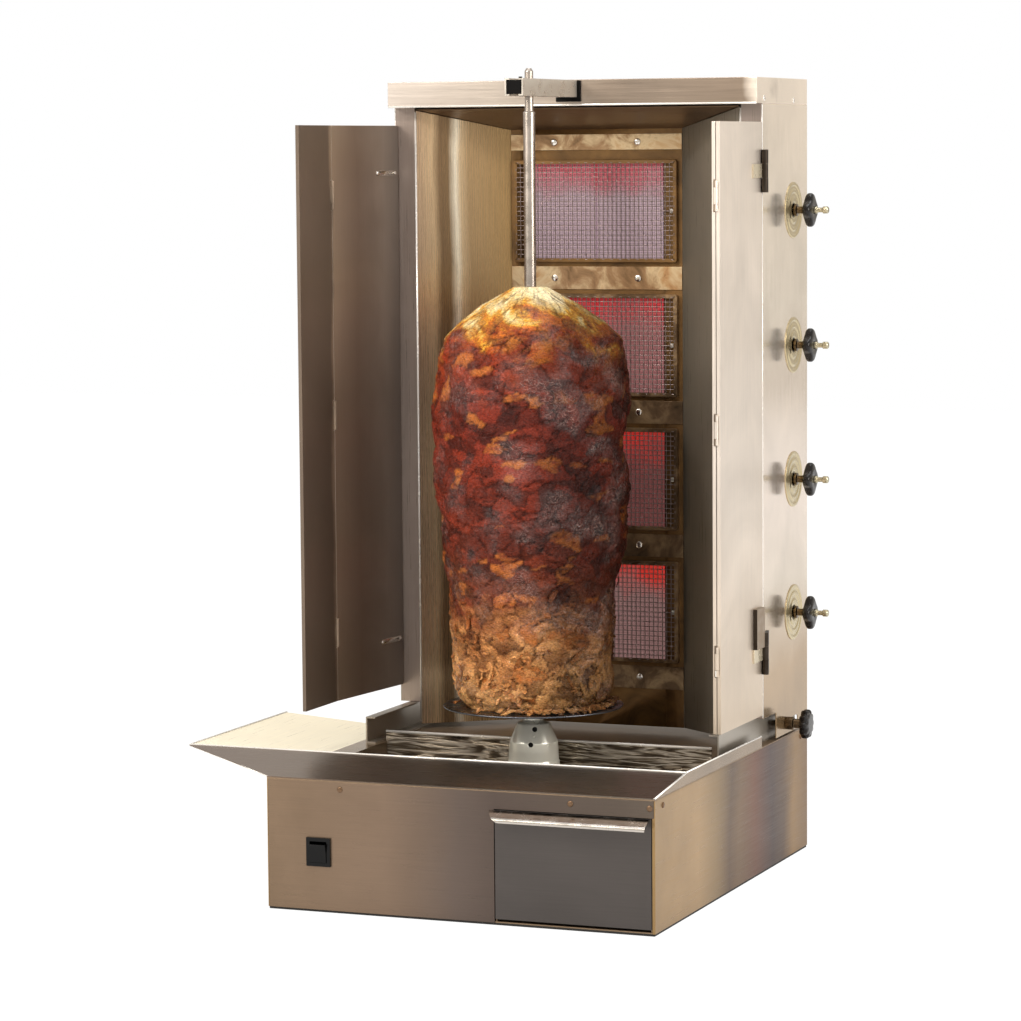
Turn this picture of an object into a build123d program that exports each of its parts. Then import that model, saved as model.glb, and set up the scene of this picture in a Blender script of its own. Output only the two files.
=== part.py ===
from build123d import *
import math
import os

os.makedirs("parts", exist_ok=True)

# Frame: X to the right, Y to the back, Z up, in millimetres.
# The origin is on the ground under the middle of the base.

# Sheet metal and clearances
SHEET = 1.5
GAP = 0.3
RUNNING_FIT = 0.05

# Base box
BASE_W = 540.0
BASE_D = 650.0
BASE_H = 175.0
FOOT_H = 3.0
FOOT_W = 18.0
FOOT_SETBACK = 1.0
CORNER_LIP = 4.0

# Catch tray: pan, sloped apron in front and wing on the left
RIM_H = 15.0
APRON_D = 125.0
WING_W = 175.0
WING_D = 310.0
PAN_W = 476.0
PAN_D = 196.0
PAN_DEPTH = 25.0
TRAY_EDGE_D = 440.0
BEAD_R = 1.6
PAN_COLLAR_R = 15.5
PAN_COLLAR_H = 10.0

# Spit, drive and meat
SPIT_FROM_FRONT = 273.0
SPIT_R = 8.0
NECK_R = 5.75
TANG_SIDE = 11.0
TANG_DEPTH = 15.5
TANG_CLEARANCE = 0.2
SPIT_TOP = 1100.0
SHOULDER_BELOW_ARM = 21.0
SPINDLE_R = 9.0
DOME_R = 35.5
DOME_TOP_R = 13.0
DOME_TOP = 230.0
DOME_FLOOR_GAP = 2.0
DOME_HOLLOW_R = 30.0
DOME_HOLLOW_H = 13.0
TOMMY_HOLE_R = 3.5
TOMMY_HOLE_D = 11.0
TOMMY_HOLES = [(14.0, 195.0), (25.0, 215.0)]
DOME_SKIRT_H = 18.0
DOME_WAIST_H = 26.0
DOME_WAIST_STEP = 2.5
DOME_SHOULDER_STEP = 13.0
DOME_NECK_H = 9.0
DOME_LIP_H = 2.0
SPIT_TIP_H = 3.0
PLATE_R = 122.0
PLATE_T = 3.0
PLATE_HUB_R = 14.0
PLATE_HUB_H = 13.0
MEAT_R = 133.0
MEAT_H = 563.0
MEAT_LAYERS = 6
MEAT_LAYER_BULGE = 2.0
MEAT_LOBES = 5
MEAT_LOBE_DEPTH = 3.0
MEAT_LOBE_TURN = 137.5
BORE_MARGIN = 1.0
MEAT_OUTLINE = [(0.70, 0.0), (0.805, 0.045), (0.82, 0.12), (0.83, 0.21), (0.875, 0.295), (0.92, 0.367),
                (0.965, 0.44), (0.982, 0.55), (0.995, 0.66), (1.0, 0.75), (0.985, 0.80), (0.95, 0.84),
                (0.885, 0.885), (0.765, 0.917), (0.54, 0.958), (0.20, 1.0)]

# Drive motor with its gearbox under the pan
GEARBOX_W = 84.0
GEARBOX_D = 96.0
GEARBOX_H = 112.0
MOTOR_R = 31.0
MOTOR_L = 105.0
BEARING_R = 24.0

# Drawer in the base
DRAWER_FROM_RIGHT = 5.0
DRAWER_W = 213.0
DRAWER_D = 300.0
DRAWER_BOTTOM = 8.0
DRAWER_TOP = 150.0
DRAWER_GAP = 1.0
DRAWER_BOX_TOP = 136.0
RUNNER_SHELF_Z = 20.0
RUNNER_SHELF_W = 9.0
RUNNER_H = 46.0
HANDLE_REACH = 22.0
HANDLE_DROP = 8.0
HANDLE_LIP = 6.0
HANDLE_INSET = 2.0

# Rocker switch
SWITCH_FROM_LEFT = 74.0
SWITCH_Z = 80.0
SWITCH_W = 34.0
SWITCH_H = 38.0
SWITCH_RIM = 4.0
SWITCH_PROUD = 3.0
SWITCH_BODY_D = 28.0
ROCKER_TILT = 8.0
ROCKER_THICK = 9.0
ROCKER_PIN_R = 1.5
SWITCH_WALL = 1.0

# Cable entry and gas inlet at the back
GLAND_FROM_LEFT = 70.0
GLAND_Z = 60.0
GLAND_R = 12.0
GLAND_SHANK_R = 9.0
GLAND_BORE_R = 5.0
GLAND_L = 22.0
GAS_PIPE_R = 10.5
GAS_TAIL_L = 20.0
GAS_INLET_DROP = 60.0
GAS_PIPE_SPARE = 20.0

# Rails that carry the cabinet
RAIL_X = 257.0
RAIL_W = 14.0
RAIL_H = 38.0
RAIL_FROM_FRONT = 293.0
RAIL_L = 340.0
RAIL_T = 2.0

# Cabinet with burners
CAB_FROM_FRONT = 446.0
CAB_BOTTOM = 215.0
CAB_TOP = 1052.0
HOOD_H = 35.0
HOOD_OVERHANG = 24.0
CAB_TRAVEL = 50.0
FLANGE_W = 32.0
FLANGE_FOLD = 6.0
SKIRT_FROM_FRONT = 505.0
SKIRT_BOTTOM = 178.0
REFLECTOR_BOTTOM = 182.0
BURNER_WALL_FROM_FRONT = 528.0
BURNER_WALL_W = 254.0
ROOF_FRONT_Z = 1048.0
ROOF_BACK_Z = 1020.0
VENT_W = 50.0
VENT_H = 6.0
VENT_PITCH = 75.0
VENTS = 4
VENT_HEIGHTS = (300.0, 960.0)

# Burners, numbered from the top
BURNERS = 4
BURNER_TOP_Z = 906.0
BURNER_PITCH = 187.0
PLAQUE_W = 98.0
PLAQUE_H = 138.0
PLAQUE_T = 12.0
PLAQUE_JOINT = 2.0
WINDOW_MARGIN = 1.5
BURNER_BODY_D = 52.0
BURNER_LEDGE = 4.0
BURNER_RIM = 3.0
VENTURI_DROP = 30.0
VENTURI_R = 13.0
GUARD_W = 243.0
GUARD_H = 143.0
GUARD_DEPTH = 7.5
GUARD_BORDER = 5.0
GUARD_WIRE = 2.4
GUARD_COLUMNS = 22
GUARD_ROWS = 13
STRIP_H = 32.0
TOP_STRIP_Z = 1002.0
TOP_STRIP_H = 22.0
STRIP_SCREW_X = 62.0
STRIP_SCREW_R = 5.0
ELECTRODE_X = 112.0
ELECTRODE_R = 3.5
ELECTRODE_L = 42.0
ELECTRODE_WIRE_R = 1.0
ELECTRODE_WIRE_L = 16.0

# Gas manifold, valves and knobs on the right side
VALVE_FROM_FRONT = 585.0
VALVE_R = 14.0
VALVE_L = 26.0
VALVE_TO_PANEL = 8.0
PIPE_R = 9.0
BRANCH_R = 8.0
ESCUTCHEON_R = 39.0
ESCUTCHEON_T = 1.5
STEM_R = 6.0
STEM_HOLE_R = 10.0
KNOB_R = 25.0
KNOB_T = 13.0
KNOB_LOBES = 4
KNOB_LOBE_R = 8.0
KNOB_STANDOFF = 18.0
BUTTON_R = 5.0
BUTTON_PROUD = 20.0
BUTTON_TRAVEL = 6.0
BUTTON_SEAT_D = 5.0

# Clamp knob that locks the cabinet on its right rail
CLAMP_FROM_FRONT = 550.0
CLAMP_Z = 193.0
CLAMP_STEM_R = 4.0
CLAMP_HUB_R = 9.0
CLAMP_HUB_L = 23.0
CLAMP_R = 21.0
CLAMP_T = 13.0
CLAMP_FACETS = 10
CLAMP_SLOT_PLAY = 1.0
CLAMP_STEM_PAST = 3.0

# Top arm with its gate
ARM_W = 26.0
ARM_H = 23.0
ARM_T = 2.0
ARM_TOP = 1086.0
ARM_FROM_FRONT = 218.0
ARM_SLOT_W = 13.0
ARM_SLOT_SPARE = 17.0
BRACKET_W = 36.0
BRACKET_H = 29.0
BRACKET_T = 3.0
GATE_T = 5.2
GATE_PIN_R = 1.5
GATE_PIN_X = 8.0
GATE_PIN_IN = 4.0
GATE_CLEARANCE = 0.6
GATE_HEAD_R = 2.5
GATE_HEAD_H = 2.0

# Folding doors
DOOR_T = 5.0
DOOR_L = 181.0
LEAF_L = 104.0
DOOR_TOP = 1027.0
RIGHT_DOOR_BOTTOM = 219.0
LEFT_DOOR_BOTTOM = 238.0
DOOR_GAP = 1.3
DOOR_EDGE = 8.0
HINGE_OUT = 5.0
HINGE_FORWARD = 5.0
HINGE_PIN_R = 2.5
HINGE_BARREL_R = 4.5
HINGE_BARREL_L = 19.0
HINGE_PLATE_L = 20.0
HINGE_PLATE_T = 2.0
HINGE_UPPER_Z = 961.0
HINGE_LOWER_Z = 305.0
HINGE_BLOCK_L = 34.0
HINGE_BLOCK_T = 6.0
HINGE_BLOCK_H = 55.0
HINGE_BOLT_R = 3.5
HINGE_BOLT_H = 2.5
HINGE_BOLTS = (10.0, 58.0)
LEFT_DOOR_ANGLE = 6.5
LEFT_LEAF_ANGLE = 6.5
FOLD_GAP = 0.5
FOLD_PIN_R = 2.0
FOLD_BARREL_R = 3.2
FOLD_BARREL_L = 22.0
FOLD_EAR_SPAN = 0.9
FOLD_WEB = 2.0
FOLD_SHARES = (0.12, 0.5, 0.88)

# Screw heads
SCREW_R = 4.0
SCREW_H = 2.0
SCREW_TIP = 0.55
BASE_SCREW_DROP = 9.6
BASE_SCREWS_FROM_RIGHT = (7.0, 114.0, 435.0)
BASE_SIDE_SCREW_IN = 31.0
HOOD_SCREW_IN = 7.0
HOOD_REAR_SCREW_UP = 5.0
REAR_SCREW_IN = 12.0
REAR_SCREW_END = 20.0

# Places worked out from the sizes above
FRONT = -BASE_D / 2
BACK = BASE_D / 2
HALF_W = BASE_W / 2
FLOOR_TOP = FOOT_H + SHEET
DECK_TOP = BASE_H
PANEL_TOP = BASE_H - SHEET
DRAWER_LEFT = HALF_W - DRAWER_FROM_RIGHT - DRAWER_W
SWITCH_X = SWITCH_FROM_LEFT - HALF_W
GLAND_X = GLAND_FROM_LEFT - HALF_W
RIM_Z = BASE_H + RIM_H
RIM_Y = FRONT + APRON_D
PAN_HALF = PAN_W / 2
PAN_BACK = RIM_Y + PAN_D
PAN_FLOOR = BASE_H - PAN_DEPTH
SPIT_Y = FRONT + SPIT_FROM_FRONT
DOME_BOTTOM = PAN_FLOOR + DOME_FLOOR_GAP
CAB_FRONT = FRONT + CAB_FROM_FRONT
CAB_INNER = HALF_W - SHEET
HOOD_FRONT = CAB_FRONT - HOOD_OVERHANG
HOOD_TOP = CAB_TOP + HOOD_H
WALL_Y = FRONT + BURNER_WALL_FROM_FRONT
WALL_HALF = BURNER_WALL_W / 2
REFLECTOR_X = HALF_W - FLANGE_W
VALVE_Y = FRONT + VALVE_FROM_FRONT
VALVE_TIP = HALF_W - VALVE_TO_PANEL
CLAMP_Y = FRONT + CLAMP_FROM_FRONT
RAIL_Y0 = FRONT + RAIL_FROM_FRONT
RAIL_TOP = BASE_H + RAIL_H
ARM_Y0 = FRONT + ARM_FROM_FRONT
ARM_BOTTOM = ARM_TOP - ARM_H
HINGE_X = HALF_W + HINGE_OUT
HINGE_Y = CAB_FRONT - HINGE_FORWARD
DOOR_BACK = CAB_FRONT - DOOR_GAP
DOOR_FRONT = DOOR_BACK - DOOR_L
FOLD_X = HALF_W - DOOR_T - FOLD_GAP
FOLD_Y = DOOR_FRONT - FOLD_GAP
BURNER_Z = [BURNER_TOP_Z - BURNER_PITCH * i for i in range(BURNERS)]
PLAQUE_FIELD_W = 2 * PLAQUE_W + PLAQUE_JOINT
WINDOW_HALF_W = PLAQUE_FIELD_W / 2 + WINDOW_MARGIN
WINDOW_HALF_H = PLAQUE_H / 2 + WINDOW_MARGIN


def block(x0, x1, y0, y1, z0, z1):
    """Box between two corners."""
    box = Box(x1 - x0, y1 - y0, z1 - z0)
    return Pos((x0 + x1) / 2, (y0 + y1) / 2, (z0 + z1) / 2) * box


def rod(radius, start, end):
    """Round bar from one point to another."""
    along = Vector(*end) - Vector(*start)
    return Solid.make_cylinder(radius, along.length, Plane(origin=start, z_dir=along))


def cone(radius, tip_radius, start, end):
    """Cone frustum from one point to another."""
    along = Vector(*end) - Vector(*start)
    plane = Plane(origin=start, z_dir=along)
    return Solid.make_cone(radius, tip_radius, along.length, plane)


def plan_prism(points, z0, z1):
    """Outline drawn in plan, carried up from z0 to z1."""
    face = make_face(Polyline(*points, close=True))
    return extrude(Pos(0, 0, z0) * face, z1 - z0, dir=(0, 0, 1))


def side_prism(points, x0, x1):
    """Outline drawn in Y and Z, carried along X."""
    face = make_face(Polyline(*points, close=True))
    return extrude(Plane.YZ.offset(x0) * face, x1 - x0, dir=(1, 0, 0))


def front_prism(points, y0, y1):
    """Outline drawn in X and Z, carried along Y."""
    face = make_face(Polyline(*points, close=True))
    plane = Plane(origin=(0, y0, 0), x_dir=(1, 0, 0), z_dir=(0, -1, 0))
    return extrude(plane * face, y1 - y0, dir=(0, 1, 0))


def turned(points, x=0.0, y=0.0):
    """Outline in radius and height, turned about an upright axis at x and y."""
    face = make_face(Polyline(*points, close=True))
    return Pos(x, y, 0) * revolve(Plane.XZ * face, Axis.Z)


def mirrored(shape):
    """The same piece on the other side."""
    return mirror(shape, about=Plane.YZ)


def turn_about(shape, x, y, angle):
    """Piece turned about an upright axis at x and y."""
    return Pos(x, y, 0) * Rot(0, 0, angle) * Pos(-x, -y, 0) * shape


def screw_head(place, out, radius=SCREW_R):
    """Domed head standing out of a sheet at a place."""
    tip = Vector(*place) + Vector(*out) * SCREW_H
    return cone(radius, radius * SCREW_TIP, place, tuple(tip))


def save(name, *shapes):
    """Write one node's solids."""
    solids = [solid for shape in shapes for solid in shape.solids()]
    export_step(Compound(solids), f"parts/{name}.step")


def base_front_panel():
    """Front sheet with the drawer opening and the switch hole."""
    opening_left = DRAWER_LEFT - DRAWER_GAP
    opening_top = DRAWER_TOP + DRAWER_GAP
    left = -CAB_INNER
    right = CAB_INNER
    outline = [(left, FOOT_H), (opening_left, FOOT_H), (opening_left, opening_top),
               (right, opening_top), (right, PANEL_TOP), (left, PANEL_TOP)]
    sheet = front_prism(outline, FRONT, FRONT + SHEET)
    half_w = SWITCH_W / 2 - SWITCH_RIM + GAP
    half_h = SWITCH_H / 2 - SWITCH_RIM + GAP
    hole = block(SWITCH_X - half_w, SWITCH_X + half_w, FRONT - 1, FRONT + SHEET + 1,
                 SWITCH_Z - half_h, SWITCH_Z + half_h)
    return sheet - hole


def base_side_panel():
    """Plain side sheet on the right."""
    return block(CAB_INNER, HALF_W, FRONT, BACK, FOOT_H, PANEL_TOP)


def base_right_panel():
    """Right side sheet with its folded lip beside the drawer."""
    lip = block(HALF_W - CORNER_LIP, CAB_INNER, FRONT, FRONT + SHEET,
                FOOT_H, DRAWER_TOP + DRAWER_GAP)
    return base_side_panel() + lip


def base_rear_panel():
    """Rear sheet with the hole for the cable gland."""
    sheet = block(-CAB_INNER, CAB_INNER, BACK - SHEET, BACK, FOOT_H, PANEL_TOP)
    hole = rod(GLAND_SHANK_R, (GLAND_X, BACK - 2 * SHEET, GLAND_Z), (GLAND_X, BACK + SHEET, GLAND_Z))
    return sheet - hole


def base_deck():
    """Top sheet of the base, open where the pan hangs."""
    sheet = block(-HALF_W, HALF_W, FRONT, BACK, PANEL_TOP, DECK_TOP)
    well = block(-PAN_HALF - GAP, PAN_HALF + GAP, RIM_Y - GAP, PAN_BACK + GAP,
                 PANEL_TOP - 1, DECK_TOP + 1)
    return sheet - well


def tray_apron():
    """Sloped front sheet whose left end is cut back to the wing's tip."""
    slope = side_prism([(FRONT, DECK_TOP), (RIM_Y + SHEET, RIM_Z - SHEET), (RIM_Y + SHEET, RIM_Z),
                        (FRONT, DECK_TOP + SHEET)], -HALF_W - WING_W, HALF_W)
    plan = plan_prism([(HALF_W, FRONT), (-HALF_W, FRONT), (-HALF_W - WING_W, RIM_Y),
                       (-HALF_W - WING_W, RIM_Y + SHEET), (HALF_W, RIM_Y + SHEET)],
                      PANEL_TOP, RIM_Z + SHEET)
    return slope & plan


def tray_wing():
    """Flat chute left of the pan, falling gently towards it."""
    tip = -HALF_W - WING_W
    ledge = DECK_TOP + SHEET
    sheet = front_prism([(tip, RIM_Z - SHEET), (tip, RIM_Z), (-HALF_W, ledge), (-HALF_W, DECK_TOP)],
                        RIM_Y, RIM_Y + WING_D)
    gusset = front_prism([(tip, RIM_Z - SHEET), (tip, RIM_Z), (-PAN_HALF, RIM_Z), (-PAN_HALF, DECK_TOP),
                          (-HALF_W, DECK_TOP)], RIM_Y, RIM_Y + SHEET)
    return sheet + gusset


def tray_pan():
    """Recessed pan with a raised rim in front and behind."""
    wall = SHEET
    floor = block(-PAN_HALF, PAN_HALF, RIM_Y, PAN_BACK, PAN_FLOOR - wall, PAN_FLOOR)
    front = block(-PAN_HALF, PAN_HALF, RIM_Y, RIM_Y + wall, PAN_FLOOR - wall, RIM_Z)
    back = block(-PAN_HALF, PAN_HALF, PAN_BACK - wall, PAN_BACK, PAN_FLOOR - wall, RIM_Z)
    side = block(PAN_HALF - wall, PAN_HALF, RIM_Y, PAN_BACK, PAN_FLOOR - wall, DECK_TOP + wall)
    collar = rod(PAN_COLLAR_R, (0, SPIT_Y, PAN_FLOOR), (0, SPIT_Y, PAN_FLOOR + PAN_COLLAR_H))
    bore = rod(PAN_COLLAR_R - wall, (0, SPIT_Y, PAN_FLOOR - 2 * wall), (0, SPIT_Y, DECK_TOP))
    return floor + front + back + side + mirrored(side) + collar - bore


def catch_tray():
    """Pan, apron, wing, side ledges and right upstand, as one folded sheet."""
    ledge = block(PAN_HALF - SHEET, HALF_W, RIM_Y, FRONT + TRAY_EDGE_D, DECK_TOP, DECK_TOP + SHEET)
    upstand = block(HALF_W - SHEET, HALF_W, RIM_Y, FRONT + TRAY_EDGE_D, DECK_TOP, RIM_Z)
    corner = block(PAN_HALF - SHEET, HALF_W, RIM_Y, RIM_Y + SHEET, DECK_TOP, RIM_Z)
    cheek = side_prism([(FRONT, DECK_TOP), (RIM_Y, DECK_TOP), (RIM_Y, RIM_Z), (FRONT, DECK_TOP + SHEET)],
                       HALF_W - SHEET, HALF_W)
    well = block(-PAN_HALF + SHEET, PAN_HALF - SHEET, RIM_Y + SHEET, PAN_BACK - SHEET,
                 PAN_FLOOR, RIM_Z)
    tray = tray_apron() + tray_wing() + tray_pan()
    tray = tray + ledge + mirrored(ledge) + upstand + corner + cheek
    return tray - (well - block(-DOME_R, DOME_R, SPIT_Y - DOME_R, SPIT_Y + DOME_R, PAN_FLOOR, RIM_Z))


def slide_rail():
    """Right rail: a channel open towards the middle."""
    y1 = RAIL_Y0 + RAIL_L
    x0 = RAIL_X - RAIL_W
    bottom = DECK_TOP + SHEET
    outer = block(x0, RAIL_X, RAIL_Y0, y1, bottom, RAIL_TOP)
    inner = block(x0 - 1, RAIL_X - RAIL_T, RAIL_Y0 - 1, y1 + 1, bottom + RAIL_T, RAIL_TOP - RAIL_T)
    return outer - inner


def rail_packer():
    """Strip that levels the rail behind the tray's ledge."""
    return block(RAIL_X - RAIL_W, RAIL_X, FRONT + TRAY_EDGE_D, RAIL_Y0 + RAIL_L,
                 DECK_TOP, DECK_TOP + SHEET)


def slide_rails():
    """Both rails, the right one tapped for the clamp knob."""
    thread = rod(CLAMP_STEM_R + RUNNING_FIT, (RAIL_X - RAIL_W, CLAMP_Y, CLAMP_Z),
                 (RAIL_X + 1, CLAMP_Y, CLAMP_Z))
    right = slide_rail() + rail_packer()
    return right - thread, mirrored(right)


def foot_strip():
    """Rubber strip all round the underside of the base."""
    x1 = HALF_W - FOOT_SETBACK
    y1 = BACK - FOOT_SETBACK
    ring = block(-x1, x1, -y1, y1, 0, FOOT_H)
    return ring - block(-x1 + FOOT_W, x1 - FOOT_W, -y1 + FOOT_W, y1 - FOOT_W, -1, FOOT_H + 1)


def switch_housing():
    """Black frame of the switch with its body behind the panel and the rocker's pin."""
    half_w = SWITCH_W / 2
    half_h = SWITCH_H / 2
    rim = block(SWITCH_X - half_w, SWITCH_X + half_w, FRONT - SWITCH_PROUD, FRONT,
                SWITCH_Z - half_h, SWITCH_Z + half_h)
    body = block(SWITCH_X - half_w + SWITCH_RIM, SWITCH_X + half_w - SWITCH_RIM,
                 FRONT - SWITCH_PROUD, FRONT + SWITCH_BODY_D,
                 SWITCH_Z - half_h + SWITCH_RIM, SWITCH_Z + half_h - SWITCH_RIM)
    well_w = half_w - SWITCH_RIM - SWITCH_WALL
    well_h = half_h - SWITCH_RIM - SWITCH_WALL
    well = block(SWITCH_X - well_w, SWITCH_X + well_w, FRONT - SWITCH_PROUD - 1,
                 FRONT + SWITCH_BODY_D - 2 * SHEET, SWITCH_Z - well_h, SWITCH_Z + well_h)
    pin = rod(ROCKER_PIN_R, (SWITCH_X - well_w - SWITCH_WALL / 2, rocker_y(), SWITCH_Z),
              (SWITCH_X + well_w + SWITCH_WALL / 2, rocker_y(), SWITCH_Z))
    return rim + body - well + pin


def rocker_y():
    """Depth of the rocker's pin."""
    return FRONT + ROCKER_THICK / 2


def rocker():
    """Rocker with two faces at a shallow angle, resting tipped to off."""
    half_w = SWITCH_W / 2 - SWITCH_RIM - SWITCH_WALL - GAP
    half_h = SWITCH_H / 2 - SWITCH_RIM - SWITCH_WALL - 6 * GAP
    dip = half_h * math.tan(math.radians(ROCKER_TILT))
    face = -ROCKER_THICK
    outline = [(face - dip, half_h), (face, 0.0), (face - dip, -half_h),
               (0.0, -half_h + dip), (0.0, half_h - dip)]
    bore = rod(ROCKER_PIN_R + RUNNING_FIT, (-half_w - 1, 0, 0), (half_w + 1, 0, 0))
    body = side_prism(outline, -half_w, half_w) - bore
    return Pos(SWITCH_X, rocker_y(), SWITCH_Z) * Rot(ROCKER_TILT, 0, 0) * body


def gear_motor():
    """Gearbox on its foot with the motor on its left face."""
    x = GEARBOX_W / 2
    y0 = SPIT_Y - GEARBOX_D / 2
    top = FLOOR_TOP + GEARBOX_H
    box = block(-x, x, y0, y0 + GEARBOX_D, FLOOR_TOP, top)
    middle = FLOOR_TOP + GEARBOX_H / 2
    bore = rod(SPINDLE_R + RUNNING_FIT, (0, SPIT_Y, middle), (0, SPIT_Y, top + 1))
    motor = rod(MOTOR_R, (-x - MOTOR_L, SPIT_Y, middle), (-x, SPIT_Y, middle))
    return box - bore, motor


def spindle_bearing():
    """Bearing housing between the gearbox and the pan."""
    bottom = FLOOR_TOP + GEARBOX_H
    top = PAN_FLOOR - SHEET
    ring = rod(BEARING_R, (0, SPIT_Y, bottom), (0, SPIT_Y, top))
    return ring - rod(SPINDLE_R + RUNNING_FIT, (0, SPIT_Y, bottom - 1), (0, SPIT_Y, top + 1))


def drawer_runners():
    """Angles on the floor that carry the drawer on both sides."""
    y1 = FRONT + DRAWER_D
    x0 = DRAWER_LEFT
    post = block(x0, x0 + SHEET, FRONT + 2 * SHEET, y1, FLOOR_TOP, FLOOR_TOP + RUNNER_H)
    shelf = block(x0, x0 + RUNNER_SHELF_W, FRONT + 2 * SHEET, y1,
                  RUNNER_SHELF_Z - SHEET, RUNNER_SHELF_Z)
    left = post + shelf
    middle = Plane(origin=(DRAWER_LEFT + DRAWER_W / 2, 0, 0), z_dir=(1, 0, 0))
    return left, mirror(left, about=middle)


def drawer():
    """Open box with the grey front sheet."""
    x0 = DRAWER_LEFT + SHEET + DRAWER_GAP
    x1 = DRAWER_LEFT + DRAWER_W - SHEET - DRAWER_GAP
    y0 = FRONT + SHEET
    y1 = FRONT + DRAWER_D
    z0 = RUNNER_SHELF_Z + GAP
    shell = block(x0, x1, y0, y1, z0, DRAWER_BOX_TOP)
    hollow = block(x0 + SHEET, x1 - SHEET, y0 + SHEET, y1 - SHEET, z0 + SHEET, DRAWER_BOX_TOP + 1)
    front = block(DRAWER_LEFT, DRAWER_LEFT + DRAWER_W, FRONT, y0, DRAWER_BOTTOM, DRAWER_TOP)
    return shell - hollow + front


def drawer_handle():
    """Bent strip standing out of the drawer's top edge."""
    y0 = FRONT - HANDLE_REACH
    z0 = DRAWER_TOP - HANDLE_DROP
    outline = [(FRONT, DRAWER_TOP - SHEET), (FRONT, DRAWER_TOP), (y0, z0 + SHEET), (y0, z0 - HANDLE_LIP),
               (y0 + SHEET, z0 - HANDLE_LIP), (y0 + SHEET, z0)]
    return side_prism(outline, DRAWER_LEFT + HANDLE_INSET, DRAWER_LEFT + DRAWER_W - HANDLE_INSET)


def cable_gland():
    """Gland nut with a bore for the lead."""
    x, z = GLAND_X, GLAND_Z
    nut = rod(GLAND_R, (x, BACK, z), (x, BACK + 0.4 * GLAND_L, z))
    cap = cone(GLAND_R, GLAND_R * 0.7, (x, BACK + 0.4 * GLAND_L, z), (x, BACK + GLAND_L, z))
    shank = rod(GLAND_SHANK_R - GAP, (x, BACK - 6 * SHEET, z), (x, BACK, z))
    bore = rod(GLAND_BORE_R, (x, BACK - 8 * SHEET, z), (x, BACK + GLAND_L + 1, z))
    return nut + cap + shank - bore


def base_screws():
    """Screw heads on the front and the sides of the base."""
    low = PANEL_TOP - BASE_SCREW_DROP
    heads = []
    for inset in BASE_SCREWS_FROM_RIGHT:
        heads.append(screw_head((HALF_W - inset, FRONT, low), (0, -1, 0)))
    for y in (FRONT + BASE_SIDE_SCREW_IN, BACK - BASE_SIDE_SCREW_IN):
        heads.append(screw_head((HALF_W, y, low), (1, 0, 0)))
        heads.append(screw_head((-HALF_W, y, low), (-1, 0, 0)))
    return heads


def drive_spindle():
    """Shaft from the gearbox into the dome."""
    bottom = FLOOR_TOP + GEARBOX_H / 2 + GAP
    return rod(SPINDLE_R, (0, SPIT_Y, bottom), (0, SPIT_Y, DOME_BOTTOM + DOME_HOLLOW_H))


def drive_dome():
    """Stepped bell that carries the spit, hollow below over the pan's collar."""
    hollow_top = DOME_BOTTOM + DOME_HOLLOW_H
    waist = DOME_BOTTOM + DOME_SKIRT_H
    outline = [(0, hollow_top), (DOME_HOLLOW_R, hollow_top), (DOME_HOLLOW_R, DOME_BOTTOM),
               (DOME_R, DOME_BOTTOM), (DOME_R, waist), (DOME_R - DOME_WAIST_STEP, waist + DOME_WAIST_H),
               (DOME_R - DOME_SHOULDER_STEP, DOME_TOP - DOME_NECK_H), (DOME_TOP_R, DOME_TOP - DOME_LIP_H),
               (DOME_TOP_R, DOME_TOP),
               (0, DOME_TOP)]
    body = turned(outline, 0, SPIT_Y)
    half = TANG_SIDE / 2 + TANG_CLEARANCE
    socket = block(-half, half, SPIT_Y - half, SPIT_Y + half, DOME_TOP - TANG_DEPTH - GAP, DOME_TOP + 1)
    for angle, height in TOMMY_HOLES:
        out = Vector(math.sin(math.radians(angle)), -math.cos(math.radians(angle)), 0)
        middle = Vector(0, SPIT_Y, height)
        inner = middle + out * (DOME_R - 2 * SHEET - TOMMY_HOLE_D)
        body = body - rod(TOMMY_HOLE_R, tuple(inner), tuple(middle + out * (DOME_R + SHEET)))
    return body - socket


def spit_rod():
    """Round spit with a square tang below and a thin neck above."""
    half = TANG_SIDE / 2
    tang = block(-half, half, SPIT_Y - half, SPIT_Y + half, DOME_TOP - TANG_DEPTH, DOME_TOP + PLATE_T)
    shoulder = ARM_BOTTOM - SHOULDER_BELOW_ARM
    shaft = rod(SPIT_R, (0, SPIT_Y, DOME_TOP + GAP), (0, SPIT_Y, shoulder))
    neck = rod(NECK_R, (0, SPIT_Y, shoulder), (0, SPIT_Y, SPIT_TOP - SPIT_TIP_H))
    tip = cone(NECK_R, NECK_R * 0.6, (0, SPIT_Y, SPIT_TOP - SPIT_TIP_H), (0, SPIT_Y, SPIT_TOP))
    return tang + shaft + neck + tip


def meat_plate():
    """Round plate with its hub, standing on the dome."""
    z0 = DOME_TOP + GAP
    hub_top = z0 + PLATE_HUB_H
    bore = SPIT_R + RUNNING_FIT
    return turned([(bore, z0), (PLATE_HUB_R, z0), (PLATE_HUB_R, hub_top), (PLATE_R, hub_top),
                   (PLATE_R, hub_top + PLATE_T), (bore, hub_top + PLATE_T)], 0, SPIT_Y)


def meat_radius(share):
    """Radius of the meat at a share of its height: the outline with the bulge of its layers."""
    for (r0, h0), (r1, h1) in zip(MEAT_OUTLINE, MEAT_OUTLINE[1:]):
        if share <= h1:
            break
    body = MEAT_R * (r0 + (r1 - r0) * (share - h0) / (h1 - h0))
    return body + MEAT_LAYER_BULGE * math.sin(2 * math.pi * MEAT_LAYERS * share)


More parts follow.
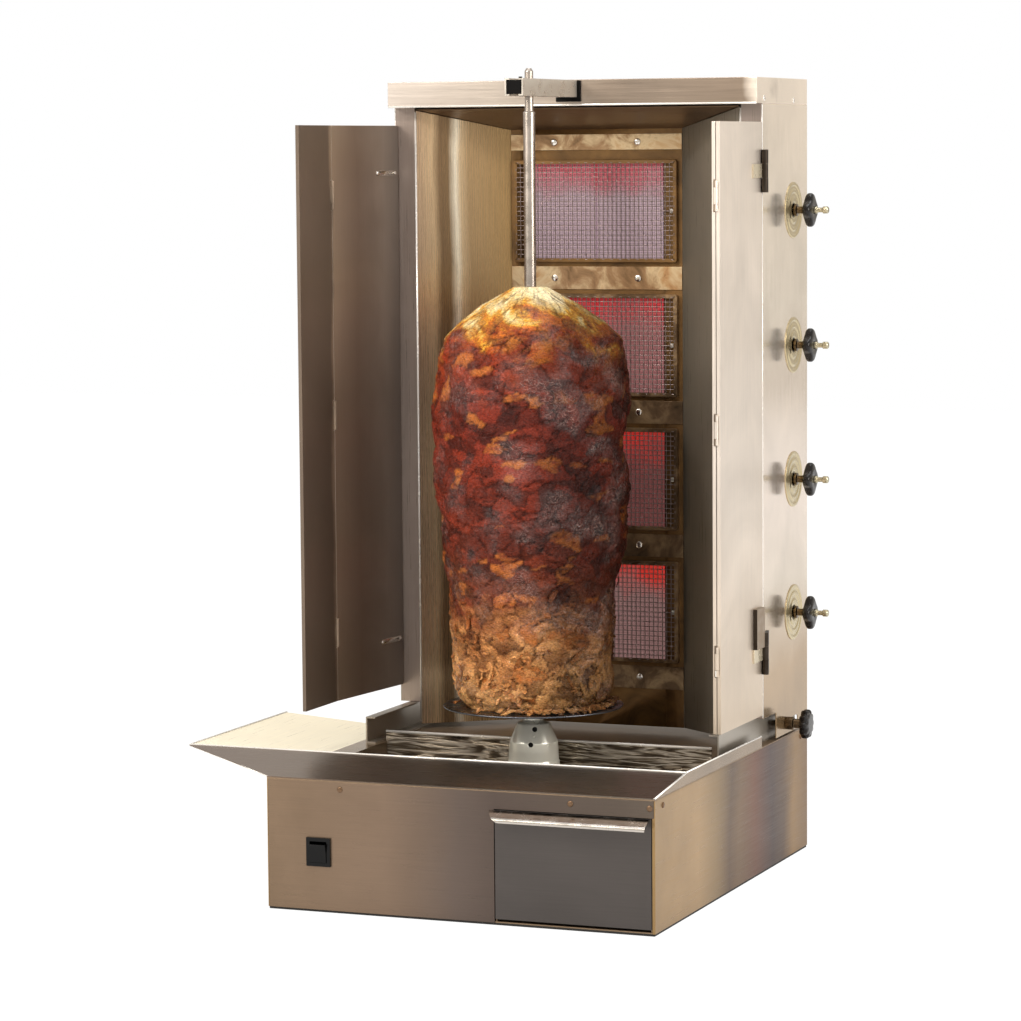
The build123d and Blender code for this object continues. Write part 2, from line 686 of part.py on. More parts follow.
def meat_ring(share, z0):
    """Outline of the meat at a share of its height, with lobes that turn from layer to layer."""
    count = 4 * MEAT_LOBES
    depth = MEAT_LOBE_DEPTH * meat_radius(share) / MEAT_R
    turn = math.radians(MEAT_LOBE_TURN) * MEAT_LAYERS * share
    points = []
    for i in range(count):
        angle = 2 * math.pi * i / count
        r = meat_radius(share) - depth * (1 - math.sin(MEAT_LOBES * angle + turn))
        points.append((r * math.cos(angle), r * math.sin(angle), z0 + MEAT_H * share))
    return Wire([Edge.make_spline([Vector(*p) for p in points], periodic=True)])


def meat():
    """Stacked meat: waisted below, widest at the shoulder, with a rounded cap and lobed, bulging layers."""
    z0 = DOME_TOP + GAP + PLATE_HUB_H + PLATE_T
    steps = 4 * MEAT_LAYERS
    body = Solid.make_loft([meat_ring(i / steps, z0) for i in range(steps + 1)], ruled=True)
    bore = rod(SPIT_R + 2 * RUNNING_FIT, (0, 0, z0 - BORE_MARGIN), (0, 0, z0 + MEAT_H + BORE_MARGIN))
    return Pos(0, SPIT_Y, 0) * (body - bore)


def cabinet_side():
    """Right side sheet with its folded front flange, as far down as the floor."""
    side = block(CAB_INNER, HALF_W, CAB_FRONT, BACK, CAB_BOTTOM - SHEET, CAB_TOP)
    flange = block(REFLECTOR_X + SHEET, CAB_INNER, CAB_FRONT, CAB_FRONT + SHEET, CAB_BOTTOM - SHEET, CAB_TOP)
    return side + flange


def cabinet_right_panel():
    """Right side with the skirt, the clamp slot and the stem holes."""
    skirt = block(CAB_INNER, HALF_W, FRONT + SKIRT_FROM_FRONT, BACK, SKIRT_BOTTOM, CAB_BOTTOM)
    play = CLAMP_STEM_R + CLAMP_SLOT_PLAY
    x0 = CAB_INNER - 1
    x1 = HALF_W + 1
    slot = block(x0, x1, CLAMP_Y, CLAMP_Y + CAB_TRAVEL, CLAMP_Z - play, CLAMP_Z + play)
    for y in (CLAMP_Y, CLAMP_Y + CAB_TRAVEL):
        slot = slot + rod(play, (x0, y, CLAMP_Z), (x1, y, CLAMP_Z))
    panel = cabinet_side() + skirt - slot
    for z in BURNER_Z:
        panel = panel - rod(STEM_HOLE_R, (x0, VALVE_Y, z), (x1, VALVE_Y, z))
    return panel


def cabinet_rear_panel():
    """Rear sheet with air slots and the gas inlet hole."""
    panel = block(-CAB_INNER, CAB_INNER, BACK - SHEET, BACK, CAB_BOTTOM - SHEET, CAB_TOP)
    y0 = BACK - 2 * SHEET
    y1 = BACK + SHEET
    for z in VENT_HEIGHTS:
        for i in range(VENTS):
            x = (i - VENTS / 2) * VENT_PITCH
            panel = panel - block(x - VENT_W / 2, x + VENT_W / 2, y0, y1, z - VENT_H / 2, z + VENT_H / 2)
    inlet = rod(BRANCH_R + GAP, (manifold_x(), y0, inlet_z()), (manifold_x(), y1, inlet_z()))
    return panel - inlet


def hood():
    """Cap over the cabinet: a top sheet with four folded sides."""
    outer = block(-HALF_W, HALF_W, HOOD_FRONT, BACK, CAB_TOP, HOOD_TOP)
    inner = block(-CAB_INNER, CAB_INNER, HOOD_FRONT + SHEET, BACK - SHEET, CAB_TOP - 1, HOOD_TOP - SHEET)
    soffit = block(-CAB_INNER, CAB_INNER, HOOD_FRONT + SHEET, CAB_FRONT + SHEET, CAB_TOP, CAB_TOP + SHEET)
    return outer - inner + soffit


def roof_slab(offset, x_half):
    """Slab under the sloped roof, from the front flange to the burner wall."""
    rise = (ROOF_FRONT_Z - ROOF_BACK_Z) / (WALL_Y - CAB_FRONT)
    back = WALL_Y + SHEET
    z1 = ROOF_FRONT_Z - offset
    z2 = ROOF_FRONT_Z - rise * (back - CAB_FRONT) - offset
    return side_prism([(CAB_FRONT + SHEET, z1), (back, z2), (back, z2 + SHEET),
                       (CAB_FRONT + SHEET, z1 + SHEET)], -x_half, x_half)


def cooking_plan(z0, z1):
    """The trapezoid between the reflectors, in plan."""
    return plan_prism([(-REFLECTOR_X, CAB_FRONT), (REFLECTOR_X, CAB_FRONT), (WALL_HALF, WALL_Y),
                       (-WALL_HALF, WALL_Y)], z0, z1)


def reflector_top():
    """Roof sheet that falls towards the burners."""
    return roof_slab(0.0, REFLECTOR_X) & cooking_plan(ROOF_BACK_Z - 20, ROOF_FRONT_Z + 20)


def reflector_side():
    """Right reflector from the front flange to the burner wall, cut under the roof."""
    run = Vector(WALL_HALF - REFLECTOR_X, WALL_Y - CAB_FRONT, 0).normalized()
    out = Vector(run.Y, -run.X, 0) * SHEET
    a = (REFLECTOR_X, CAB_FRONT)
    b = (WALL_HALF, WALL_Y)
    sheet = plan_prism([a, b, (b[0] + out.X, b[1] + out.Y), (a[0] + out.X, a[1] + out.Y)],
                       REFLECTOR_BOTTOM, ROOF_FRONT_Z)
    rise = (ROOF_FRONT_Z - ROOF_BACK_Z) / (WALL_Y - CAB_FRONT)
    back = WALL_Y + 10
    above = side_prism([(CAB_FRONT - 1, ROOF_FRONT_Z), (back, ROOF_FRONT_Z - rise * (back - CAB_FRONT)),
                        (back, ROOF_FRONT_Z + 20), (CAB_FRONT - 1, ROOF_FRONT_Z + 20)], 0, HALF_W)
    return sheet - above


def cabinet_floor():
    """Bottom sheet around the cooking space, sliding on the rails."""
    z0 = RAIL_TOP + GAP
    sheet = block(-CAB_INNER, CAB_INNER, CAB_FRONT + SHEET, BACK - SHEET, z0, CAB_BOTTOM)
    reach = 3 * SHEET
    cut = plan_prism([(-REFLECTOR_X - reach, CAB_FRONT), (REFLECTOR_X + reach, CAB_FRONT),
                      (WALL_HALF + reach, WALL_Y + reach), (-WALL_HALF - reach, WALL_Y + reach)],
                     z0 - 1, CAB_BOTTOM + 1)
    return sheet - cut


def burner_frame():
    """Wall of plain sheets around the burner windows, with holes for the electrodes."""
    y1 = WALL_Y + SHEET
    top = ROOF_BACK_Z
    stile = block(WINDOW_HALF_W, WALL_HALF, WALL_Y, y1, REFLECTOR_BOTTOM, top)
    right = stile
    for z in BURNER_Z:
        right = right - rod(ELECTRODE_R + RUNNING_FIT, (ELECTRODE_X, WALL_Y - 1, z), (ELECTRODE_X, y1 + 1, z))
    sheets = [right, mirrored(stile)]
    edges = [top]
    for z in BURNER_Z:
        edges += [z + WINDOW_HALF_H, z - WINDOW_HALF_H]
    edges.append(REFLECTOR_BOTTOM)
    for upper, lower in zip(edges[0::2], edges[1::2]):
        sheets.append(block(-WINDOW_HALF_W, WINDOW_HALF_W, WALL_Y, y1, lower, upper))
    return sheets


def burner_plaques():
    """Two ceramic plaques in each burner window."""
    plaques = []
    for z in BURNER_Z:
        for x in (-PLAQUE_W / 2 - PLAQUE_JOINT / 2, PLAQUE_W / 2 + PLAQUE_JOINT / 2):
            plaques.append(block(x - PLAQUE_W / 2, x + PLAQUE_W / 2, WALL_Y, WALL_Y + PLAQUE_T,
                                 z - PLAQUE_H / 2, z + PLAQUE_H / 2))
    return plaques


def burner(z):
    """Hollow burner box behind its plaques with the venturi tube to the valve side."""
    y0 = WALL_Y + SHEET
    y1 = WALL_Y + PLAQUE_T + BURNER_BODY_D
    half_w = WINDOW_HALF_W + BURNER_RIM
    half_h = WINDOW_HALF_H + BURNER_RIM
    shell = block(-half_w, half_w, y0, y1, z - half_h, z + half_h)
    seat = block(-PLAQUE_FIELD_W / 2 - GAP, PLAQUE_FIELD_W / 2 + GAP, y0 - 1, WALL_Y + PLAQUE_T,
                 z - PLAQUE_H / 2 - GAP, z + PLAQUE_H / 2 + GAP)
    hollow = block(-PLAQUE_FIELD_W / 2 + BURNER_LEDGE, PLAQUE_FIELD_W / 2 - BURNER_LEDGE, y0, y1 - SHEET,
                   z - PLAQUE_H / 2 + BURNER_LEDGE, z + PLAQUE_H / 2 - BURNER_LEDGE)
    tube_y = (WALL_Y + PLAQUE_T + y1) / 2
    tube_z = z - VENTURI_DROP
    venturi = rod(VENTURI_R, (half_w - 1, tube_y, tube_z), (manifold_x() - PIPE_R - 2, tube_y, tube_z))
    return shell + venturi - seat - hollow


def burner_guard(z):
    """Wire net in a folded border, standing off the wall."""
    x1 = GUARD_W / 2
    z1 = GUARD_H / 2
    field_w = GUARD_W - 2 * GUARD_BORDER
    field_h = GUARD_H - 2 * GUARD_BORDER
    gap_w = (field_w - GUARD_WIRE * (GUARD_COLUMNS - 1)) / GUARD_COLUMNS
    gap_h = (field_h - GUARD_WIRE * (GUARD_ROWS - 1)) / GUARD_ROWS
    holes = []
    for i in range(GUARD_COLUMNS):
        for j in range(GUARD_ROWS):
            x = -field_w / 2 + gap_w / 2 + i * (gap_w + GUARD_WIRE)
            h = -field_h / 2 + gap_h / 2 + j * (gap_h + GUARD_WIRE)
            holes.append(Pos(x, h) * Wire.make_rect(gap_w, gap_h))
    face = Face(Wire.make_rect(GUARD_W, GUARD_H), holes)
    y0 = WALL_Y - GUARD_DEPTH
    plane = Plane(origin=(0, y0, z), x_dir=(1, 0, 0), z_dir=(0, -1, 0))
    net = extrude(plane * face, SHEET, dir=(0, 1, 0))
    rim = block(-x1, x1, y0 + SHEET, WALL_Y, z - z1, z + z1)
    rim = rim - block(-x1 + SHEET, x1 - SHEET, y0, WALL_Y + 1, z - z1 + SHEET, z + z1 - SHEET)
    return net + rim


def strip_places():
    """Middle height and height of each strip across the burner wall."""
    between = [(z - BURNER_PITCH / 2, STRIP_H) for z in BURNER_Z[:-1]]
    lowest = (BURNER_Z[-1] - BURNER_PITCH / 2, STRIP_H)
    return [(TOP_STRIP_Z, TOP_STRIP_H)] + between + [lowest]


def burner_strips():
    """Heat-tinted strips between the burners."""
    return [block(-WALL_HALF, WALL_HALF, WALL_Y - SHEET, WALL_Y, z - h / 2, z + h / 2)
            for z, h in strip_places()]


def ignition_electrodes():
    """Ceramic rod beside each burner with its bent wire."""
    pieces = []
    for z in BURNER_Z:
        y0 = WALL_Y - GUARD_DEPTH + 2 * SHEET
        ceramic = rod(ELECTRODE_R, (ELECTRODE_X, y0, z), (ELECTRODE_X, y0 + ELECTRODE_L, z))
        wire = rod(ELECTRODE_WIRE_R, (ELECTRODE_X, y0 + SHEET, z), (ELECTRODE_X - ELECTRODE_WIRE_L, y0 + SHEET, z))
        pieces.append(ceramic + wire)
    return pieces


def manifold_x():
    """Middle of the upright gas pipe, just inside the valves."""
    return VALVE_TIP - VALVE_L - PIPE_R


def inlet_z():
    """Height of the rear gas inlet."""
    return BURNER_Z[-1] - GAS_INLET_DROP


def gas_manifold():
    """Upright pipe with a valve for each burner and the threaded tail behind."""
    x = manifold_x()
    pipe = rod(PIPE_R, (x, VALVE_Y, inlet_z() - GAS_PIPE_SPARE), (x, VALVE_Y, BURNER_Z[0] + GAS_PIPE_SPARE))
    for z in BURNER_Z:
        pipe = pipe + rod(VALVE_R, (x, VALVE_Y, z), (VALVE_TIP, VALVE_Y, z))
    elbow = rod(BRANCH_R, (x, VALVE_Y, inlet_z()), (x, BACK + 1, inlet_z()))
    thread = rod(GAS_PIPE_R, (x, BACK, inlet_z()), (x, BACK + GAS_TAIL_L, inlet_z()))
    return pipe + elbow + thread


def escutcheons():
    """Round plates behind the knobs."""
    x1 = HALF_W + ESCUTCHEON_T
    plates = []
    for z in BURNER_Z:
        disc = rod(ESCUTCHEON_R, (HALF_W, VALVE_Y, z), (x1, VALVE_Y, z))
        plates.append(disc - rod(STEM_HOLE_R, (HALF_W - 1, VALVE_Y, z), (x1 + 1, VALVE_Y, z)))
    return plates


def gas_knob(z):
    """Lobed knob on its stem, bored for the safety button."""
    x0 = HALF_W + KNOB_STANDOFF
    x1 = x0 + KNOB_T
    reach = KNOB_R - KNOB_LOBE_R
    stem = rod(STEM_R, (VALVE_TIP + GAP, VALVE_Y, z), (x0 + 1, VALVE_Y, z))
    knob = rod(reach, (x0, VALVE_Y, z), (x1, VALVE_Y, z))
    for i in range(KNOB_LOBES):
        angle = 2 * math.pi * i / KNOB_LOBES
        y = VALVE_Y + reach * math.cos(angle)
        h = z + reach * math.sin(angle)
        knob = knob + rod(KNOB_LOBE_R, (x0, y, h), (x1, y, h))
    bore = rod(BUTTON_R + RUNNING_FIT, (x1 - button_depth(), VALVE_Y, z), (x1 + 1, VALVE_Y, z))
    return stem + knob - bore


def button_depth():
    """Depth of the button's bore in the knob."""
    return BUTTON_TRAVEL + BUTTON_SEAT_D


def safety_button(z):
    """Metal push button in the middle of a knob."""
    face = HALF_W + KNOB_STANDOFF + KNOB_T
    inner = face - button_depth() + BUTTON_TRAVEL + GAP
    return rod(BUTTON_R, (inner, VALVE_Y, z), (face + BUTTON_PROUD, VALVE_Y, z))


def clamp_knob():
    """Faceted knob whose stem goes through the skirt's slot into the rail."""
    x0 = HALF_W + GAP
    hub_end = x0 + CLAMP_HUB_L
    y, z = CLAMP_Y, CLAMP_Z
    stem = rod(CLAMP_STEM_R, (RAIL_X - RAIL_T - CLAMP_STEM_PAST, y, z), (x0 + 1, y, z))
    hub = rod(CLAMP_HUB_R, (x0, y, z), (hub_end + 1, y, z))
    outline = RegularPolygon(CLAMP_R, CLAMP_FACETS)
    plane = Plane(origin=(hub_end, y, z), z_dir=(1, 0, 0))
    head = extrude(plane * outline, CLAMP_T)
    return stem + hub + head


def spit_arm():
    """Box tube, slotted from its open end so that the neck stays put as the cabinet slides."""
    half = ARM_W / 2
    y1 = HOOD_FRONT - BRACKET_T
    outer = block(-half, half, ARM_Y0, y1, ARM_BOTTOM, ARM_TOP)
    inner = block(-half + ARM_T, half - ARM_T, ARM_Y0 - 1, y1 + 1, ARM_BOTTOM + ARM_T, ARM_TOP - ARM_T)
    slot_end = SPIT_Y + CAB_TRAVEL + ARM_SLOT_SPARE
    half_slot = ARM_SLOT_W / 2
    slot = block(-half_slot, half_slot, ARM_Y0 - 1, slot_end, ARM_BOTTOM - 1, ARM_TOP + 1)
    end = rod(half_slot, (0, slot_end, ARM_BOTTOM - 1), (0, slot_end, ARM_TOP + 1))
    pin_y = ARM_Y0 + GATE_PIN_IN
    pin = rod(GATE_PIN_R + RUNNING_FIT, (GATE_PIN_X, pin_y, ARM_BOTTOM - 1), (GATE_PIN_X, pin_y, ARM_TOP + 1))
    return outer - inner - slot - end - pin


def arm_bracket():
    """Black plate between the arm and the hood."""
    half = BRACKET_W / 2
    y0 = HOOD_FRONT - BRACKET_T
    return block(-half, half, y0, HOOD_FRONT, ARM_TOP - BRACKET_H, ARM_TOP)


def arm_gate():
    """Black flap that closes the arm's open end, on an upright pin at its right side."""
    left = -ARM_W / 2 + ARM_T + GATE_CLEARANCE
    z0 = ARM_BOTTOM + ARM_T + GAP
    z1 = ARM_TOP - ARM_T - GAP
    pin_y = ARM_Y0 + GATE_PIN_IN
    flap = block(left, GATE_PIN_X, pin_y - GATE_T / 2, pin_y + GATE_T / 2, z0, z1)
    barrel = rod(GATE_T / 2, (GATE_PIN_X, pin_y, z0), (GATE_PIN_X, pin_y, z1))
    head_top = ARM_TOP + GATE_HEAD_H
    pin = rod(GATE_PIN_R, (GATE_PIN_X, pin_y, ARM_BOTTOM - 1), (GATE_PIN_X, pin_y, head_top))
    head = rod(GATE_HEAD_R, (GATE_PIN_X, pin_y, ARM_TOP + GAP), (GATE_PIN_X, pin_y, head_top))
    return flap + barrel + pin + head


def hinge_knuckles(z, door_side):
    """Barrels of one hinge about its pin, on the door or on the cabinet."""
    middle = (z - HINGE_BARREL_L / 2, z + HINGE_BARREL_L / 2)
    if door_side:
        spans = [middle]
    else:
        spans = [(middle[0] - HINGE_BARREL_L - GAP, middle[0] - GAP),
                 (middle[1] + GAP, middle[1] + HINGE_BARREL_L + GAP)]
    pieces = []
    for z0, z1 in spans:
        barrel = rod(HINGE_BARREL_R, (HINGE_X, HINGE_Y, z0), (HINGE_X, HINGE_Y, z1))
        if door_side:
            plate = block(HALF_W, HALF_W + HINGE_PLATE_T, HINGE_Y - 2 * HINGE_PLATE_L, HINGE_Y, z0, z1)
            neck = block(HALF_W, HINGE_X, HINGE_Y - HINGE_BARREL_R, HINGE_Y, z0, z1)
        else:
            plate = block(HALF_W, HALF_W + HINGE_PLATE_T, CAB_FRONT, CAB_FRONT + HINGE_PLATE_L, z0, z1)
            neck = block(HALF_W + GAP, HINGE_X, HINGE_Y, HINGE_Y + HINGE_BARREL_R, z0, z1)
            neck = neck + block(HALF_W + GAP, HALF_W + HINGE_PLATE_T, HINGE_Y, CAB_FRONT, z0, z1)
        pieces.append(barrel + plate + neck)
    return pieces


def cabinet_hinge(z):
    """Fixed half of a door hinge with its pin."""
    z0 = z - 1.5 * HINGE_BARREL_L - GAP
    z1 = z + 1.5 * HINGE_BARREL_L + GAP
    half = rod(HINGE_PIN_R, (HINGE_X, HINGE_Y, z0), (HINGE_X, HINGE_Y, z1))
    for piece in hinge_knuckles(z, False):
        half = half + piece
    return half


def door_hinges():
    """Fixed halves of the four door hinges."""
    halves = []
    for z in (HINGE_UPPER_Z, HINGE_LOWER_Z):
        halves.append(cabinet_hinge(z))
        halves.append(mirrored(cabinet_hinge(z)))
    return halves


def fold_heights(bottom):
    """Heights of the hinge barrels between a door and its leaf."""
    return [bottom + (DOOR_TOP - bottom) * share for share in FOLD_SHARES]


def hollow_panel(y0, y1, bottom):
    """Flat box of folded sheet, open at its lower edge."""
    box = block(HALF_W - DOOR_T, HALF_W, y0, y1, bottom, DOOR_TOP)
    inside = block(HALF_W - DOOR_T + SHEET, HALF_W - SHEET, y0 + DOOR_EDGE, y1 - DOOR_EDGE,
                   bottom - 1, DOOR_TOP - SHEET)
    return box - inside


def hinge_block():
    """Stop block on the door's outer face above the lower hinge."""
    y1 = HINGE_Y - HINGE_BARREL_R - 2 * GAP
    z0 = HINGE_LOWER_Z + HINGE_BARREL_L / 2
    return block(HALF_W, HALF_W + HINGE_BLOCK_T, y1 - HINGE_BLOCK_L, y1, z0, z0 + HINGE_BLOCK_H)


def door_panel(bottom):
    """Right door: a flat box with its hinge knuckles, their bolts and the fold pins."""
    door = hollow_panel(DOOR_FRONT, DOOR_BACK, bottom) + hinge_block()
    inner = HALF_W - DOOR_T
    for z in (HINGE_UPPER_Z, HINGE_LOWER_Z):
        for inset in HINGE_BOLTS:
            y = DOOR_BACK - inset
            door = door + cone(HINGE_BOLT_R, HINGE_BOLT_R * SCREW_TIP, (inner, y, z), (inner - HINGE_BOLT_H, y, z))
        for piece in hinge_knuckles(z, True):
            door = door + piece
        bore_top = z + HINGE_BARREL_L
        door = door - rod(HINGE_PIN_R + RUNNING_FIT, (HINGE_X, HINGE_Y, z - HINGE_BARREL_L),
                          (HINGE_X, HINGE_Y, bore_top))
    for z in fold_heights(bottom):
        door = door - fold_relief(z, 1.5)
        reach = FOLD_EAR_SPAN * FOLD_BARREL_L
        pin = rod(FOLD_PIN_R, (FOLD_X, FOLD_Y, z - reach), (FOLD_X, FOLD_Y, z + reach))
        door = door + pin + fold_ears(z)
    return door


def fold_relief(z, spans):
    """Round room for the fold barrels, cut out of a panel's edge."""
    half = spans * FOLD_BARREL_L / 2 + GAP
    return rod(FOLD_BARREL_R + GAP, (FOLD_X, FOLD_Y, z - half), (FOLD_X, FOLD_Y, z + half))


def fold_ears(z):
    """Short barrels above and below the leaf's barrel, joined to the door."""
    ears = []
    for side in (-1, 1):
        z0 = z + side * (FOLD_BARREL_L / 2 + GAP)
        z1 = z + side * FOLD_EAR_SPAN * FOLD_BARREL_L
        low, high = min(z0, z1), max(z0, z1)
        ear = rod(FOLD_BARREL_R, (FOLD_X, FOLD_Y, low), (FOLD_X, FOLD_Y, high))
        web = block(FOLD_X, FOLD_X + FOLD_GAP + FOLD_WEB, FOLD_Y, FOLD_Y + FOLD_BARREL_R + FOLD_WEB, low, high)
        ears.append(ear + web)
    return ears[0] + ears[1]


def leaf_panel(bottom):
    """Outer leaf in line with the right door, with its barrels on the fold pins."""
    y1 = FOLD_Y - FOLD_GAP
    leaf = hollow_panel(y1 - LEAF_L, y1, bottom)
    for z in fold_heights(bottom):
        leaf = leaf - fold_relief(z, 1.9)
        z0 = z - FOLD_BARREL_L / 2
        z1 = z + FOLD_BARREL_L / 2
        barrel = rod(FOLD_BARREL_R, (FOLD_X, FOLD_Y, z0), (FOLD_X, FOLD_Y, z1))
        web = block(FOLD_X, FOLD_X + FOLD_GAP + FOLD_WEB, FOLD_Y - FOLD_BARREL_R - FOLD_WEB, FOLD_Y, z0, z1)
        bore = rod(FOLD_PIN_R + RUNNING_FIT, (FOLD_X, FOLD_Y, z0 - 1), (FOLD_X, FOLD_Y, z1 + 1))
        leaf = leaf + barrel + web - bore
    return leaf


def right_leaf():
    """Leaf folded flat against the inside of the right door."""
    return turn_about(leaf_panel(RIGHT_DOOR_BOTTOM), FOLD_X, FOLD_Y, -180.0)


def left_door():
    """Left door, standing a little outwards."""
    return turn_about(mirrored(door_panel(LEFT_DOOR_BOTTOM)), -HINGE_X, HINGE_Y, -LEFT_DOOR_ANGLE)


def left_leaf():
    """Leaf of the left door, straightened to run along the depth."""
    leaf = turn_about(mirrored(leaf_panel(LEFT_DOOR_BOTTOM)), -FOLD_X, FOLD_Y, LEFT_LEAF_ANGLE)
    return turn_about(leaf, -HINGE_X, HINGE_Y, -LEFT_DOOR_ANGLE)


def cabinet_screws():
    """Screw heads on the hood, the rear panel and the strips."""
    heads = []
    for y, z in ((CAB_FRONT + HOOD_SCREW_IN, CAB_TOP + HOOD_SCREW_IN), (VALVE_Y, CAB_TOP + HOOD_REAR_SCREW_UP)):
        heads.append(screw_head((HALF_W, y, z), (1, 0, 0)))
        heads.append(screw_head((-HALF_W, y, z), (-1, 0, 0)))
    for x in (-CAB_INNER + REAR_SCREW_IN, CAB_INNER - REAR_SCREW_IN):
        for z in (CAB_BOTTOM + REAR_SCREW_END, (CAB_BOTTOM + CAB_TOP) / 2, CAB_TOP - REAR_SCREW_END):
            heads.append(screw_head((x, BACK, z), (0, 1, 0)))
    for z, h in strip_places():
        for x in (-STRIP_SCREW_X, STRIP_SCREW_X):
            heads.append(screw_head((x, WALL_Y - SHEET, z), (0, -1, 0), STRIP_SCREW_R))
    return heads


def build_base():
    """Everything that stands still on the ground."""
    save("base_front_panel", base_front_panel())
    save("base_right_panel", base_right_panel())
    save("base_left_panel", mirrored(base_side_panel()))
    save("base_rear_panel", base_rear_panel())
    save("base_floor", block(-CAB_INNER, CAB_INNER, FRONT + SHEET, BACK - SHEET, FOOT_H, FLOOR_TOP))
    save("base_deck", base_deck())
    save("catch_tray", catch_tray())
    save("slide_rails", *slide_rails())
    save("foot_strip", foot_strip())
    save("switch_housing", switch_housing())
    save("gear_motor", *gear_motor())
    save("spindle_bearing", spindle_bearing())
    save("drawer_runners", *drawer_runners())
    save("cable_gland", cable_gland())
    save("base_screws", *base_screws())


def build_spit():
    """The turning pieces."""
    save("drive_spindle", drive_spindle())
    save("drive_dome", drive_dome())
    save("spit_rod", spit_rod())
    save("meat_plate", meat_plate())
    save("meat", meat())


def build_cabinet():
    """The sliding cabinet with its burners and gas pipe."""
    save("cabinet_right_panel", cabinet_right_panel())
    save("cabinet_left_panel", mirrored(cabinet_side()))
    save("cabinet_rear_panel", cabinet_rear_panel())
    save("hood", hood())
    save("reflector_top", reflector_top())
    save("reflector_right", reflector_side())
    save("reflector_left", mirrored(reflector_side()))
    save("cabinet_floor", cabinet_floor())
    save("burner_frame", *burner_frame())
    save("burner_plaques", *burner_plaques())
    save("burner_guards", *[burner_guard(z) for z in BURNER_Z])
    save("burner_strips", *burner_strips())
    save("ignition_electrodes", *ignition_electrodes())
    save("gas_manifold", gas_manifold())
    save("escutcheons", *escutcheons())
    save("cabinet_screws", *cabinet_screws())
    save("spit_arm", spit_arm())
    save("arm_bracket", arm_bracket())
    save("door_hinges", *door_hinges())


def build_moving():
    """Knobs, buttons, doors, drawer, switch, clamp and gate."""
    for number, z in enumerate(BURNER_Z, start=1):
        save(f"burner_{number}", burner(z))
        save(f"gas_knob_{number}", gas_knob(z))
        save(f"safety_button_{number}", safety_button(z))
    save("door_right", door_panel(RIGHT_DOOR_BOTTOM))
    save("door_right_leaf", right_leaf())
    save("door_left", left_door())
    save("door_left_leaf", left_leaf())
    save("drawer", drawer())
    save("drawer_handle", drawer_handle())
    save("rocker", rocker())
    save("clamp_knob", clamp_knob())
    save("arm_gate", arm_gate())


build_base()
build_spit()
build_cabinet()
build_moving()
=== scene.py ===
"""Looks of a doner kebab grill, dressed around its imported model.

Lengths are in millimetres; MM turns them into metres for meshes and patterns. X points right, Y back, Z up.
"""

import logging
import math
from dataclasses import dataclass
from enum import Enum
from functools import partial

import bmesh
import bpy
import numpy as np
from mathutils import Matrix


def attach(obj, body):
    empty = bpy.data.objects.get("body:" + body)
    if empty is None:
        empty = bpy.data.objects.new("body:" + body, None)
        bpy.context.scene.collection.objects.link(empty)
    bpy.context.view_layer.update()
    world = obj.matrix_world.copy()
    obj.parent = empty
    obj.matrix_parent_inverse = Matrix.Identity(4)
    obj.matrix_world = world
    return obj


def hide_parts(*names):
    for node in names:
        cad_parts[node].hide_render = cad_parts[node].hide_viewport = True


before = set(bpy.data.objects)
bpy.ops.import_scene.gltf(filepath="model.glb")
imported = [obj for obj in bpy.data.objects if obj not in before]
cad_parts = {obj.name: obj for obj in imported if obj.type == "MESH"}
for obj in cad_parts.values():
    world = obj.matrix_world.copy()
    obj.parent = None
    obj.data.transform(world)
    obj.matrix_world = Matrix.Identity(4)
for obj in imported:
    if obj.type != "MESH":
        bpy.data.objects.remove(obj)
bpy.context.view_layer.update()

Piece = bpy.types.Object
Socket = bpy.types.NodeSocket
Spot = tuple[float, float, float]

MM = 0.001
LOG = logging.getLogger("kebab_grill")
LOOKS: dict[str, bpy.types.Material] = {}
UP = np.array([0, 0, 1.0])

BASE_HALF_W = 270.0
BASE_TOP = 175.0
FRONT_Y = -325.0
SPIT_Y = -52.0
RIM_Y = -200.0
RIM_Z = 190.0
PAN_HALF = 238.0
PAN_BACK = -4.0
PAN_FLOOR = 150.0
TRAY_BACK = 115.0
WING_TIP = -445.0
WING_BACK = 110.0
CAB_FRONT = 121.0
VALVE_Y = 260.0
HINGE_X = 275.0
HINGE_Y = 116.0
DOOR_X = 270.0
BURNER_Z = [906.0 - 187.0 * i for i in range(4)]


class Axis(Enum):
    """Axis that a grain, a gradient or a turned shape follows."""

    X = 0
    Y = 1
    Z = 2


def linear(code: str) -> tuple[float, float, float, float]:
    """Linear light of an sRGB colour.

    Args:
        code: A hash and six hex digits.

    Returns:
        Red, green, blue and an alpha of one.
    """
    values = [int(code[i:i + 2], 16) / 255 for i in (1, 3, 5)]
    return (*[v / 12.92 if v <= 0.04045 else ((v + 0.055) / 1.055) ** 2.4 for v in values], 1.0)


def fill(node: bpy.types.Node, values: dict) -> None:
    """Link or set sockets of a node.

    Args:
        node: The node.
        values: Socket name or number mapped to an output socket, a hex colour or a value.
    """
    for key, value in values.items():
        if isinstance(value, Socket):
            node.id_data.links.new(value, node.inputs[key])
        else:
            node.inputs[key].default_value = linear(value) if isinstance(value, str) else value


def add(tree: bpy.types.NodeTree, kind: str, values: dict | None = None, **settings) -> bpy.types.Node:
    """Add one node.

    Args:
        tree: Node tree that gets it.
        kind: Type name without the ShaderNode prefix.
        values: What its sockets get, as in fill.
        settings: Properties of the node itself.

    Returns:
        The new node.
    """
    made = tree.nodes.new("ShaderNode" + kind)
    for key, value in settings.items():
        setattr(made, key, value)
    fill(made, values or {})
    return made


